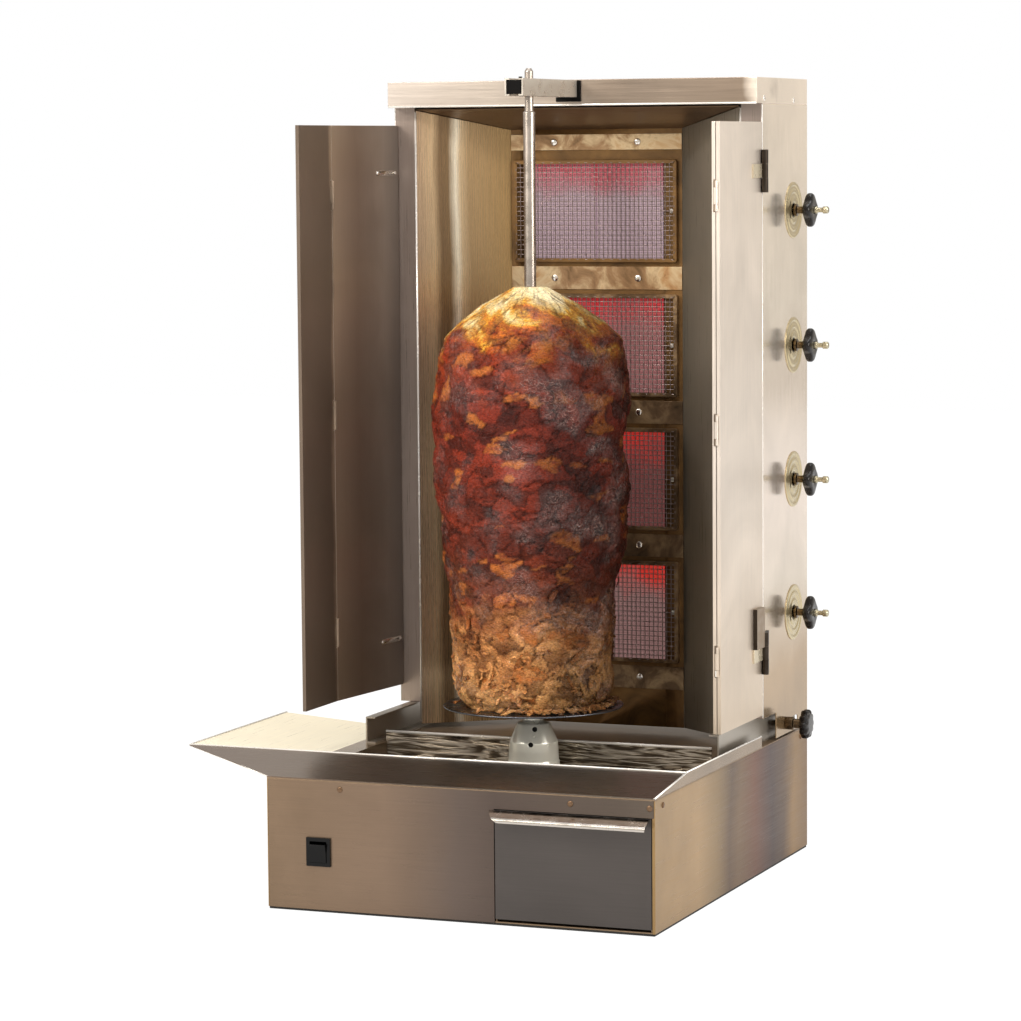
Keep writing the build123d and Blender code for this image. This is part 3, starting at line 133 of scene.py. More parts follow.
def ramp(factor: Socket, stops: tuple[tuple[float, str], ...]) -> Socket:
    """Colour ramp over a factor that runs from 0 to 1.

    Args:
        factor: The factor.
        stops: Position and hex colour of each stop, in rising order.

    Returns:
        The ramp's colour.
    """
    made = add(factor.id_data, "ValToRGB", {"Fac": factor})
    band = made.color_ramp
    while len(band.elements) < len(stops):
        band.elements.new(0.5)
    for element, (place, code) in zip(band.elements, stops):
        element.position = place
        element.color = linear(code)
    return made.outputs["Color"]


class Net:
    """Nodes of one material: its shader, its Object coordinates in metres and short ways to add more."""

    def __init__(self, tree: bpy.types.NodeTree) -> None:
        """Empty the tree and add the shader.

        Args:
            tree: Node tree of the material.
        """
        tree.nodes.clear()
        self.tree = tree
        self.shader = add(tree, "BsdfPrincipled")
        add(tree, "OutputMaterial", {"Surface": self.shader.outputs[0]})
        self.where = add(tree, "TexCoord").outputs["Object"]
        self.axes = add(tree, "SeparateXYZ", {0: self.where}).outputs

    def stretch(self, x: float, y: float, z: float) -> Socket:
        """Coordinates scaled along each axis."""
        return add(self.tree, "Mapping", {"Vector": self.where, "Scale": (x, y, z)}).outputs[0]

    def noise(self, scale: float, detail: float, rough: float = 0.5, swirl: float = 0.0,
              where: Socket | None = None) -> Socket:
        """Noise between 0 and 1, at a scale in repeats per metre."""
        return add(self.tree, "TexNoise", {"Vector": where or self.where, "Scale": scale, "Detail": detail,
                                           "Roughness": rough, "Distortion": swirl}).outputs["Fac"]

    def span(self, value: Socket, start: float = 0.0, end: float = 1.0, low: float = 0.0, high: float = 1.0,
             **kind) -> Socket:
        """Value mapped from start..end to low..high and held there."""
        return add(self.tree, "MapRange", {"Value": value, "From Min": start, "From Max": end, "To Min": low,
                                           "To Max": high}, **kind).outputs[0]

    def calc(self, how: str, a: Socket, b: Socket | float = 0.5) -> Socket:
        """Result of one sum on two numbers."""
        return add(self.tree, "Math", {0: a, 1: b}, operation=how).outputs[0]

    def mix(self, factor: Socket | float, a: Socket | str, b: Socket | str) -> Socket:
        """Colour a blended towards colour b."""
        return add(self.tree, "Mix", {0: factor, 6: a, 7: b}, data_type="RGBA").outputs[2]

    def dim(self, colour: Socket, factor: Socket) -> Socket:
        """Colour times a number."""
        return add(self.tree, "VectorMath", {0: colour, 3: factor}, operation="SCALE").outputs[0]

    def bump(self, height: Socket, strength: float, distance: float, under: Socket | None = None) -> Socket:
        """Normal tilted by a height, on top of another bump if there is one."""
        values = {"Height": height, "Strength": strength, "Distance": distance}
        return add(self.tree, "Bump", {**values, "Normal": under} if under else values).outputs[0]


@dataclass(frozen=True)
class Finish:
    """Plain surface finish with fine mottling, which makes its material once."""

    name: str
    colour: str = "#808080"
    rough: float = 0.4
    metallic: float = 0.0

    def detail(self, net: Net) -> None:
        """Add what makes the surface more than one flat colour.

        Args:
            net: Nodes of the material, whose shader has the finish's colour, roughness and metallic value.
        """
        noise = net.noise(120.0, 5.0, 0.6)
        mottled = net.mix(noise, self.colour, net.mix(0.12, self.colour, "#000000"))
        fill(net.shader, {"Base Color": mottled, "Normal": net.bump(noise, 0.06, 0.0005)})

    def material(self) -> bpy.types.Material:
        """The finish's material."""
        if self.name not in LOOKS:
            made = bpy.data.materials.new("look_" + self.name)
            made.use_nodes = True
            net = Net(made.node_tree)
            fill(net.shader, {"Base Color": self.colour, "Roughness": self.rough, "Metallic": self.metallic})
            self.detail(net)
            LOOKS[self.name] = made
        return LOOKS[self.name]


@dataclass(frozen=True)
class BrushedSheet(Finish):
    """Stainless sheet brushed in one direction, with broad, soft wiping marks and colour stops along one axis
    that paint reflections, light and shade onto it.
    """

    metallic: float = 0.8
    rough: float = 0.3
    grain: Axis = Axis.Z
    grain_mm: float = 1.6
    stops: tuple[tuple[float, str], ...] = ()
    along: Axis = Axis.Z
    start_mm: float = 0.0
    end_mm: float = 1000.0
    blotch: float = 0.18
    depth: float = 0.05
    dent: float = 0.35

    def detail(self, net: Net) -> None:
        """Grain in tint, roughness and bump; the tint's stops, painted reflections and shade, run from
        start_mm to end_mm.
        """
        scale = [1.0 / (self.grain_mm * MM)] * 3
        scale[self.grain.value] /= 60
        lines = net.noise(1.0, 3.0, 0.65, where=net.stretch(*scale))
        cloud = net.noise(6.0, 4.0, 0.55, 0.6)
        place = net.span(net.axes[self.along.value], self.start_mm * MM, self.end_mm * MM)
        place = net.calc("ADD", place, net.span(cloud, low=-0.06, high=0.06))
        # The stops paint reflections, light and shade as colour along one axis.
        tint = ramp(place, self.stops or ((0.0, self.colour), (1.0, self.colour)))
        shade = net.span(cloud, 0.3, 0.7, 1.0 - self.blotch)
        shade = net.calc("MULTIPLY", shade, net.span(lines, 0.3, 0.7, 0.93, 1.04))
        grain = net.bump(lines, self.depth * 4, 0.0002)
        fill(net.shader, {"Base Color": net.dim(tint, shade),
                          "Roughness": net.span(lines, 0.25, 0.75, self.rough - 0.05, self.rough + 0.09),
                          "Normal": net.bump(cloud, self.dent, 0.0012, grain)})


@dataclass(frozen=True)
class TurnedMetal(Finish):
    """Bright turned or polished metal with fingermarks and faint tool marks."""

    metallic: float = 1.0
    rough: float = 0.14

    def detail(self, net: Net) -> None:
        """Patches in colour and roughness and a very fine bump."""
        smear = net.noise(60.0, 6.0)
        fill(net.shader, {"Base Color": net.mix(0.2, self.colour, net.mix(smear, self.colour, "#9A9288")),
                          "Roughness": net.span(smear, 0.3, 0.7, self.rough * 0.7, self.rough * 1.6),
                          "Normal": net.bump(smear, 0.04, 0.0004)})


@dataclass(frozen=True)
class HeatTint(Finish):
    """Steel tinted by heat, in patches."""

    rough: float = 0.34
    patches: tuple[tuple[float, str], ...] = ()
    patch_mm: float = 45.0

    def detail(self, net: Net) -> None:
        """Oxide colours as a ramp over swirled noise, with a scaly bump."""
        wide = net.noise(1.0 / (self.patch_mm * MM), 6.0, 0.62, 0.8)
        fine = net.noise(260.0, 5.0)
        fill(net.shader, {"Base Color": ramp(wide, self.patches),
                          "Roughness": net.span(fine, low=self.rough - 0.1, high=self.rough + 0.16),
                          "Normal": net.bump(fine, 0.18, 0.0006)})


@dataclass(frozen=True)
class GlossPlastic(Finish):
    """Moulded black plastic, or black paint, with a thin coat."""

    coat: float = 0.35
    sheen: float = 0.5

    def detail(self, net: Net) -> None:
        """Orange peel under the coat and rubbed patches."""
        rub = net.noise(70.0, 4.0)
        fill(net.shader, {"Coat Weight": self.coat, "Coat Roughness": 0.12, "Coat IOR": 1.35,
                          "Specular IOR Level": self.sheen,
                          "Roughness": net.span(rub, 0.3, 0.7, self.rough - 0.06, self.rough + 0.14),
                          "Normal": net.bump(net.noise(420.0, 3.0), 0.1, 0.0004)})


@dataclass(frozen=True)
class GlowingCeramic(Finish):
    """Perforated ceramic plaque that glows, redder along its top edge."""

    rough: float = 0.85
    hot: str = "#E8402A"
    cool: str = "#C9A7B4"
    centre_mm: float = 906.0
    glow: float = 0.45
    hole_mm: float = 3.2

    def detail(self, net: Net) -> None:
        """Rows of holes as darker dots, painted shade in the holes, and a glow that fades over 69 mm on each
        side of the middle.
        """
        height = net.span(net.axes[2], (self.centre_mm - 69) * MM, (self.centre_mm + 69) * MM)
        warm = net.calc("ADD", height, net.span(net.noise(22.0, 3.0), low=-0.3, high=0.3))
        body = ramp(warm, ((0.1, self.cool), (0.62, self.cool), (0.95, self.hot)))
        values = {"Vector": net.stretch(1.0, 0.0, 1.0), "Scale": 1.0 / (self.hole_mm * MM), "Randomness": 0.0}
        dots = add(net.tree, "TexVoronoi", values, feature="F1").outputs["Distance"]
        # Holes darkened to 0.35: painted shade.
        hole = net.span(dots, 0.22, 0.42, 0.35)
        fill(net.shader, {"Base Color": net.dim(body, hole), "Emission Color": body,
                          "Emission Strength": self.glow, "Normal": net.bump(hole, 0.5, 0.001)})


@dataclass(frozen=True)
class RoastMeat(Finish):
    """Stacked roast meat under a sticky glaze, pale at the top and cut at the foot.

    The attribute "slices" of a piece holds each point's slice tint, crease and fat; the crease value is
    painted dark as shade.
    """

    def detail(self, net: Net) -> None:
        """Colour by height and slice, then char, fat, creases painted dark as shade, the +X side painted
        darker as shade and pale sinews that also paint glints; wet fibres as bump.
        """
        paint = add(net.tree, "Attribute", attribute_name="slices").outputs["Color"]
        tint, crease, fat = add(net.tree, "SeparateColor", {0: paint}).outputs
        drift = net.span(net.noise(14.0, 6.0, 0.6, 1.2), low=-0.2, high=0.2)
        zone = net.calc("ADD", net.span(net.axes[2], 0.246, 0.81), drift)
        glazed = ramp(zone, (
            (0.02, "#E0A769"), (0.16, "#C78851"), (0.27, "#7A3920"), (0.4, "#742C1A"), (0.7, "#86301F"),
            (0.85, "#963919"), (0.905, "#BE691E"), (0.93, "#DBA133"), (0.955, "#D6B87A"), (1.0, "#E6D6AE")))
        dark = ramp(zone, (
            (0.02, "#7A5430"), (0.2, "#64391F"), (0.33, "#421C12"), (0.75, "#3E150E"), (0.86, "#5E2614"),
            (0.92, "#A06A2C"), (0.955, "#C2A060"), (1.0, "#D8C698")))
        char = net.noise(34.0, 7.0, 0.7)
        under = net.span(zone, 0.84, 0.93, 1.0, 0.0)
        burnt = net.calc("MULTIPLY", net.span(zone, 0.2, 0.4), under)
        burnt = net.calc("MULTIPLY", net.span(char, 0.54, 0.66, 0.0, 0.85), burnt)
        colour = net.mix(burnt, net.mix(tint, glazed, dark), "#23100C")
        # Creases darken towards near-black: painted shade between the slices.
        colour = net.mix(crease, net.mix(fat, colour, "#A8602A"), "#2A0F08")
        strands = net.noise(1.0, 5.0, 0.7, where=net.stretch(300.0, 300.0, 620.0))
        # The +X side of the meat is darkened down to 0.36 of its colour: painted shade.
        side_shade = net.span(net.axes[0], 0.02, 0.085, 1.04, 0.36, interpolation_type="SMOOTHSTEP")
        colour = net.dim(colour, net.calc("MULTIPLY", net.span(strands, 0.3, 0.7, 0.42, 1.75), side_shade))
        # Thin pale lines in patches: sinews, and painted glints as well.
        thread = net.noise(62.0, 3.0, 0.55, 1.4, net.stretch(1.0, 1.0, 1.7))
        sinew_and_glint = net.span(net.calc("ABSOLUTE", net.calc("SUBTRACT", thread, 0.5)), 0.004, 0.02, 1.0, 0.0)
        place = net.noise(17.0, 2.0)
        sinew_and_glint = net.calc("MULTIPLY", net.calc("MULTIPLY", sinew_and_glint, net.span(place, 0.52, 0.64)), under)
        broad = net.bump(net.noise(150.0, 4.0, 0.6, 0.7), 1.0, 0.006)
        rough = net.calc("ADD", net.span(char, 0.35, 0.65, 0.2, 0.5), net.span(zone, 0.84, 0.96, 0.0, 0.35))
        fill(net.shader, {"Base Color": net.mix(net.calc("MULTIPLY", sinew_and_glint, 0.2), colour, "#E8BCAE"),
                          "Roughness": rough, "Specular IOR Level": 0.1, "Subsurface Weight": 0.06,
                          "Subsurface Scale": 0.004, "Coat Weight": net.span(place, 0.46, 0.58, 0.1, 0.75),
                          "Coat Roughness": 0.06, "Coat IOR": 1.5, "Coat Normal": broad,
                          "Normal": net.bump(strands, 0.4, 0.002, broad)})


@dataclass(frozen=True)
class Grease(Finish):
    """Film of melted fat and juice, whose ripples show reflections of its surroundings painted as light and
    dark bands.
    """

    metallic: float = 0.6
    rough: float = 0.12

    def detail(self, net: Net) -> None:
        """Dark and light bands, stretched along X: painted reflections of the surroundings."""
        bands = net.noise(1.0, 4.0, swirl=1.6, where=net.stretch(8.0, 40.0, 75.0))
        # Pale bands among the dark ones are painted reflections.
        stops = ((0.3, "#2E261E"), (0.42, "#5E5244"), (0.5, "#D8CEBE"), (0.55, "#6E6252"), (0.62, "#3E342A"),
                 (0.72, "#B0A28E"), (0.85, "#4E4438"))
        fill(net.shader, {"Base Color": ramp(bands, stops), "Normal": net.bump(bands, 0.5, 0.004)})


# Cabinet sides: darker brown at the foot and near-white higher up, painted shade below and painted
# reflections above.
SIDE_SHEET = BrushedSheet("side_sheet", grain=Axis.Z, rough=0.15, along=Axis.Z, start_mm=178.0, end_mm=1052.0,
    dent=0.05, depth=0.02, stops=((0.0, "#A48A68"), (0.1, "#B89C78"), (0.24, "#E7D9C7"), (0.36, "#FBEBDC"),
    (0.55, "#F3E4D4"), (0.68, "#FFF4E5"), (1.0, "#FEF0DF")))
# Outer door sheet: darker towards the bottom, painted shade.
DOOR_OUTER = BrushedSheet("door_sheet", grain=Axis.Z, rough=0.36, along=Axis.Z, start_mm=219.0, end_mm=1027.0,
    stops=((0.0, "#DCCBB6"), (0.4, "#EFE3D6"), (1.0, "#F8ECDF")))
# Darker copy of the door sheet for the doors' inner side and the left leaf: browns along Y with a pale band
# near 0.37, painted shade and painted reflections.
DOOR_SHADED = BrushedSheet("door_inside_shaded_sheet", grain=Axis.Z, rough=0.36, along=Axis.Y, start_mm=-166.0,
    end_mm=120.0, metallic=0.5, stops=((0.0, "#77685A"), (0.34, "#726355"), (0.37, "#A8947F"),
    (0.6, "#907D6E"), (0.85, "#A19387"), (1.0, "#8D837B")))
# Base front: light brown on the left and darker grey-brown to the right, painted reflections and shade.
FRONT_SHEET = BrushedSheet("front_sheet", grain=Axis.X, rough=0.3, along=Axis.X, start_mm=-270.0,
    end_mm=270.0, stops=((0.0, "#836E59"), (0.3, "#877260"), (0.5, "#685B53"), (0.6, "#5C5049"),
    (1.0, "#655A50")))
DRAWER_SHEET = BrushedSheet("drawer_sheet", colour="#55504D", grain=Axis.X, rough=0.33)
# Base sides: brown bands along Y with a near-black band towards the back, painted reflections and shade.
BASE_SIDE = BrushedSheet("base_side_sheet", grain=Axis.Y, rough=0.3, along=Axis.Y, start_mm=-325.0,
    end_mm=325.0, blotch=0.3, stops=((0.0, "#A08258"), (0.28, "#A98A60"), (0.4, "#8A7048"), (0.48, "#5C4226"),
    (0.55, "#6E5230"), (0.64, "#6A3A16"), (0.74, "#3C1C08"), (0.82, "#5A3C1A"), (0.9, "#96723E"),
    (1.0, "#7E5C30")))
# Tray apron: browns along X, darkest past the middle, painted reflections and shade.
APRON_SHEET = BrushedSheet("apron_sheet", grain=Axis.X, rough=0.28, along=Axis.X, start_mm=-445.0,
    end_mm=270.0, stops=((0.0, "#796557"), (0.35, "#706052"), (0.6, "#5A5148"), (1.0, "#766C60")))
WING_SHEET = BrushedSheet("wing_sheet", colour="#F4EBD0", grain=Axis.Y, rough=0.3, metallic=0.2, blotch=0.06,
    depth=0.01)
# Left reflector: a near-white streak with a darker band beside it, painted highlight and painted shade.
REFLECTOR_LEFT = BrushedSheet("left_reflector_sheet", grain=Axis.Z, rough=0.26, along=Axis.X, start_mm=-238.0,
    end_mm=-127.0, metallic=0.65, stops=((0.0, "#BDA184"), (0.17, "#D7BA93"), (0.25, "#8A7052"),
    (0.34, "#8E7454"), (0.42, "#FFF4DC"), (0.47, "#D8BE98"), (0.56, "#B69971"), (1.0, "#B29262")))
# Right reflector: darker towards the cabinet's middle, painted shade.
REFLECTOR_RIGHT = BrushedSheet("right_reflector_sheet", grain=Axis.Z, rough=0.3, along=Axis.X, start_mm=127.0,
    end_mm=238.0, metallic=0.5, stops=((0.0, "#797266"), (0.5, "#90897C"), (1.0, "#979084")))
ROOF_SHEET = BrushedSheet("roof_sheet", colour="#7A624A", grain=Axis.X, rough=0.3, metallic=0.6)
# Hood: light on the left, darker to the right and near-white at the right end, painted light, shade and
# highlight.
HOOD_SHEET = BrushedSheet("hood_sheet", grain=Axis.X, rough=0.32, along=Axis.X, start_mm=-270.0, end_mm=270.0,
    stops=((0.0, "#E1D6CC"), (0.3, "#D2C6B9"), (0.6, "#A29384"), (0.97, "#9D8C7B"), (1.0, "#FFF2E2")))
PLAIN_SHEET = BrushedSheet("plain_sheet", colour="#B4ACA0", grain=Axis.X, rough=0.34)
INNER_SHEET = BrushedSheet("inner_sheet", colour="#8A745C", grain=Axis.X, rough=0.38, metallic=0.5)
# Darker copy of the side sheet for the cabinet's front flanges: painted shade.
FLANGE_SHADED = BrushedSheet("flange_shaded_sheet", colour="#A09289", grain=Axis.Z, rough=0.3, metallic=0.6)
PAN_SHEET = BrushedSheet("pan_sheet", colour="#8E7A62", grain=Axis.X, rough=0.2, blotch=0.45, metallic=0.5)
WALL_SHEET = HeatTint("wall_sheet", rough=0.4, patch_mm=70.0, metallic=0.6, patches=((0.25, "#433320"),
    (0.45, "#735633"), (0.6, "#86653B"), (0.8, "#563F28")))
STRIP_GOLD = HeatTint("strip_sheet", metallic=0.7, patches=((0.25, "#6A5238"), (0.42, "#A88662"),
    (0.55, "#DCC49C"), (0.68, "#C49A6C"), (0.8, "#8A6448")))
STRIP_DARK = HeatTint("dark_strip_sheet", metallic=0.6, patches=((0.3, "#3A2E20"), (0.5, "#7A6248"),
    (0.65, "#B09470"), (0.8, "#44362A")))
POLISHED = TurnedMetal("polished_steel", colour="#EFEAE2", rough=0.18)
PULL_STEEL = TurnedMetal("pull_steel", colour="#C6BFB6", rough=0.2)
DOME_STEEL = TurnedMetal("dome_steel", colour="#FFFFF4", rough=0.18, metallic=0.42)
# Near-black cylinders inside the tommy-bar holes: painted shade in the holes.
HOLE_SHADE = Finish("hole_painted_shade", colour="#060504", rough=0.9)
# Dark and light copies of the hinge steel: painted shade on the hinges and their slots, painted highlight on
# the hinge metal beside the door.
HINGE_SHADED = TurnedMetal("hinge_shaded_steel", colour="#241A12", rough=0.35)
HINGE_LIT = TurnedMetal("hinge_lit_steel", colour="#D8CCB2", rough=0.25, metallic=0.6)
STOP_BROWN = TurnedMetal("hinge_stop_steel", colour="#8C7B68", rough=0.4, metallic=0.5)
ARM_STEEL = TurnedMetal("arm_steel", colour="#E0D8CC", rough=0.3, metallic=0.7)
SATIN_ROD = TurnedMetal("satin_rod_steel", colour="#B9AFA6", rough=0.28)
# Near-white beads along rims and folds: painted highlights on these edges.
EDGE_HIGHLIGHT = TurnedMetal("edge_highlight_steel", colour="#FFFCF6", rough=0.2, metallic=0.4)
PALE_DISC = TurnedMetal("pale_disc_steel", colour="#CBBB94", rough=0.2, metallic=0.85)
DARK_STEEL = TurnedMetal("dark_plate_steel", colour="#5C6069", rough=0.25)
WIRE = TurnedMetal("wire_steel", colour="#8E7F7C", rough=0.35)
STEM_BRASS = TurnedMetal("stem_brass", colour="#5A4830", rough=0.2)
BUTTON_METAL = TurnedMetal("button_metal", colour="#BDB59A", rough=0.22)
SCREW_BRASS = TurnedMetal("base_screw_steel", colour="#6E5238", rough=0.3, metallic=0.8)
BLACK_KNOB = GlossPlastic("black_phenolic", colour="#100B08", rough=0.2, coat=0.36, sheen=0.25)
BLACK_SWITCH = GlossPlastic("black_switch_boot", colour="#040404", rough=0.13, coat=0.45, sheen=0.08)
BLACK_PAINT = GlossPlastic("black_painted_steel", colour="#060504", rough=0.55, coat=0.0, sheen=0.12)
RUBBER = Finish("foot_rubber", colour="#15130F", rough=0.7)
CERAMIC = Finish("white_ceramic", colour="#EDE8DC", rough=0.25)
CAST_BODY = Finish("cast_alloy", colour="#7C7A76", rough=0.5, metallic=1.0)
BURNER_BODY = Finish("burner_pressing", colour="#3C3834", rough=0.6, metallic=1.0)
MEAT = RoastMeat("roast_meat")
GREASE = Grease("pan_grease")
PLAQUE_FINISHES = [
    GlowingCeramic("top_plaque", cool="#B9A2AC", hot="#C2606A", centre_mm=BURNER_Z[0], glow=0.3),
    GlowingCeramic("second_plaque", cool="#9F6969", hot="#CB4045", centre_mm=BURNER_Z[1], glow=0.35),
    GlowingCeramic("third_plaque", cool="#854F4D", hot="#DE3C35", centre_mm=BURNER_Z[2], glow=0.42),
    GlowingCeramic("bottom_plaque", cool="#A57F7C", hot="#EE443A", centre_mm=BURNER_Z[3], glow=0.42),
]


def shade(made: Piece, smooth: bool = True) -> Piece:
    """Shade every face of a piece smooth, or flat."""
    made.data.polygons.foreach_set("use_smooth", [smooth] * len(made.data.polygons))
    return made


def object_from(name: str, points: np.ndarray, faces: np.ndarray | list[list[int]]) -> Piece:
    """Make a smooth object at the origin.

    Args:
        name: Piece name.
        points: Coordinates in millimetres, with x, y and z along the last axis.
        faces: Point numbers of each face.

    Returns:
        The linked object.
    """
    mesh = bpy.data.meshes.new(name)
    rows = faces.tolist() if isinstance(faces, np.ndarray) else faces
    mesh.from_pydata((np.asarray(points, float).reshape(-1, 3) * MM).tolist(), [], rows)
    mesh.validate()
    made = bpy.data.objects.new(name, mesh)
    bpy.context.scene.collection.objects.link(made)
    return shade(made)


def quads(rows: int, columns: int, wrap_rows: bool = False, wrap_columns: bool = False) -> np.ndarray:
    """Quads of a grid of points, whose last row or column may join the first one."""
    a, b = np.meshgrid(np.arange(rows - (not wrap_rows)), np.arange(columns - (not wrap_columns)),
                       indexing="ij")
    c, d = (a + 1) % rows, (b + 1) % columns
    return np.stack([a * columns + b, c * columns + b, c * columns + d, a * columns + d], -1).reshape(-1, 4)


def slab_faces(rows: int, columns: int) -> np.ndarray:
    """Quads of a closed slab whose upper grid's points come first and whose lower grid's points follow."""
    grid = np.arange(rows * columns).reshape(rows, columns)
    loop = np.concatenate([grid[0], grid[1:, -1], grid[-1, -2::-1], grid[-2:0:-1, 0]])
    after, top = np.roll(loop, -1), quads(rows, columns)
    return np.concatenate([top, top[:, ::-1] + grid.size,
                           np.stack([after, loop, loop + grid.size, after + grid.size], -1)])


def outward(made: Piece) -> Piece:
    """Turn the faces of a closed piece outwards after merging its doubles."""
    work = bmesh.new()
    work.from_mesh(made.data)
    bmesh.ops.remove_doubles(work, verts=work.verts, dist=1e-6)
    bmesh.ops.recalc_face_normals(work, faces=work.faces)
    work.to_mesh(made.data)
    work.free()
    return made


def closed_grid(name: str, grid: np.ndarray) -> Piece:
    """Closed piece from loops of points, whose first and last loops are capped.

    Args:
        name: Piece name.
        grid: Array of loops by points by 3, in millimetres.

    Returns:
        The piece, with its faces outwards.
    """
    rows, columns = grid.shape[:2]
    first = np.arange(columns)
    faces = quads(rows, columns, False, True).tolist()
    faces += [first[::-1].tolist(), (first + (rows - 1) * columns).tolist()]
    return outward(object_from(name, grid, faces))


def lathe_grid(profile: np.ndarray, centre: Spot, axis: Axis, around: int, lobes: int = 0, depth: float = 0.0,
               from_radius: float = 0.0) -> np.ndarray:
    """Points of a turned shape: each profile point goes round the axis at its radius.

    With lobes, it shrinks between them by depth times (1 - cos(lobes * angle)) / 2, beyond from_radius.

    Args:
        profile: Radius and place along the axis, n by 2.
        centre: Where the axis starts.
        axis: Direction of the axis.
        around: Points round the axis.
        lobes: Number of lobes.
        depth: Share of the radius lost between lobes.
        from_radius: Radius inside which the shape stays round.

    Returns:
        Array of n by around by 3.
    """
    along, side, other = np.roll(np.eye(3), -axis.value, axis=0)
    angle = np.linspace(0, 2 * np.pi, around, endpoint=False)
    share = np.clip((profile[:, :1] - from_radius) / max(from_radius, 1.0), 0, 1)
    radius = profile[:, :1] * (1 - depth * share * (1 - np.cos(lobes * angle)) / 2)
    spun = radius[..., None] * (np.cos(angle)[:, None] * side + np.sin(angle)[:, None] * other)
    return np.asarray(centre) + spun + profile[:, 1, None, None] * along


def rounded(profile: list[tuple[float, float]], radius: float, steps: int = 4) -> np.ndarray:
    """Profile whose inner corners become the curve (1-t)^2 a + 2t(1-t) corner + t^2 b.

    Args:
        profile: Corner points.
        radius: How far a and b lie from the corner, at most half the way to the next one.
        steps: Points along each curve.

    Returns:
        Array of n by 2.
    """
    corners = np.asarray(profile, float)
    made = [corners[0]]
    t = np.linspace(0, 1, steps)[:, None]
    for before, here, after in zip(corners[:-2], corners[1:-1], corners[2:]):
        a, b = (here + way * min(0.5, radius / max(np.linalg.norm(way), 1e-9))
                for way in (before - here, after - here))
        made.extend((1 - t) ** 2 * a + 2 * t * (1 - t) * here + t ** 2 * b)
    return np.array([*made, corners[-1]])


def lathe(name: str, profile: list[tuple[float, float]], centre: Spot, axis: Axis, around: int = 64,
          corner: float = 0.6, **shape) -> Piece:
    """Turned piece with rounded corners, closed at both ends of its profile."""
    return closed_grid(name, lathe_grid(rounded(profile, corner), centre, axis, around, **shape))


def ring(name: str, profile: list[tuple[float, float]], centre: Spot, axis: Axis, around: int, corner: float,
         **shape) -> Piece:
    """Turned piece with rounded corners, whose profile closes on itself round a hole."""
    grid = lathe_grid(rounded(profile, corner), centre, axis, around, **shape)
    return outward(object_from(name, grid, quads(*grid.shape[:2], True, True)))


def bar(name: str, start: np.ndarray, out: np.ndarray, radius: float, length: float, around: int) -> Piece:
    """Plain round bar that runs from a point along a level unit vector."""
    angle = np.linspace(0, 2 * np.pi, around, endpoint=False)[:, None]
    loop = start + radius * (np.cos(angle) * np.cross(out, UP) + np.sin(angle) * UP)
    return closed_grid(name, np.stack([loop, loop + out * length]))


def coat(piece: Piece, *finishes: Finish, kind: np.ndarray | None = None) -> Piece:
    """Give a piece several finishes.

    Args:
        piece: The piece.
        finishes: Its finishes in order.
        kind: Number of each face's finish, or None for the first one everywhere.

    Returns:
        The piece.
    """
    for finish in finishes:
        piece.data.materials.append(finish.material())
    if kind is not None:
        piece.data.polygons.foreach_set("material_index", kind.astype(np.int32))
    return piece


def faces_of(piece: Piece) -> tuple[np.ndarray, np.ndarray]:
    """Middles of a piece's faces in millimetres, and the faces' normals."""
    polygons = piece.data.polygons
    return np.array([p.center for p in polygons]) / MM, np.array([p.normal for p in polygons])


def joined(name: str, parts: list[Piece]) -> Piece:
    """Join pieces into the first one, whose materials come first, and name it."""
    with bpy.context.temp_override(active_object=parts[0], selected_editable_objects=parts,
                                   selected_objects=parts, object=parts[0]):
        bpy.ops.object.join()
    parts[0].name = parts[0].data.name = name
    return parts[0]


def dress(piece: Piece, finish: Finish, body: str, slot: str, *nodes: str) -> None:
    """Give a piece its finish and its body, and hide the nodes that it stands for.

    Args:
        piece: The finished object.
        finish: Its finish, unless it already carries materials.
        body: CAD body it rides on.
        slot: Material slot of the record; not used.
        nodes: CAD nodes that it replaces.
    """
    if not piece.data.materials:
        coat(piece, finish)
    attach(piece, body)
    if nodes:
        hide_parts(*nodes)
    LOG.info("piece %s rides on %s", piece.name, body)


def softened(node: str, width: float) -> Piece:
    """Copy of a CAD node, without materials, with a fine round on every edge that catches the light.

    Args:
        node: Name of the CAD node.
        width: Width of the round in millimetres.

    Returns:
        The copy.
    """
    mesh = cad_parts[node].data.copy()
    mesh.materials.clear()
    work = bmesh.new()
    work.from_mesh(mesh)
    bmesh.ops.remove_doubles(work, verts=work.verts, dist=2e-6)
    bmesh.ops.dissolve_limit(work, angle_limit=math.radians(0.4), verts=work.verts, edges=work.edges)
    work.to_mesh(mesh)
    work.free()
    made = bpy.data.objects.new(node + "_skin", mesh)
    bpy.context.scene.collection.objects.link(made)
    bevel = made.modifiers.new("edge_round", "BEVEL")
    bevel.width, bevel.segments, bevel.use_clamp_overlap = width * MM, 2, True
    bevel.limit_method, bevel.angle_limit = "ANGLE", math.radians(40)
    weighted = made.modifiers.new("flat_faces", "WEIGHTED_NORMAL")
    weighted.mode, weighted.weight, weighted.keep_sharp = "FACE_AREA", 100, True
    return shade(made)


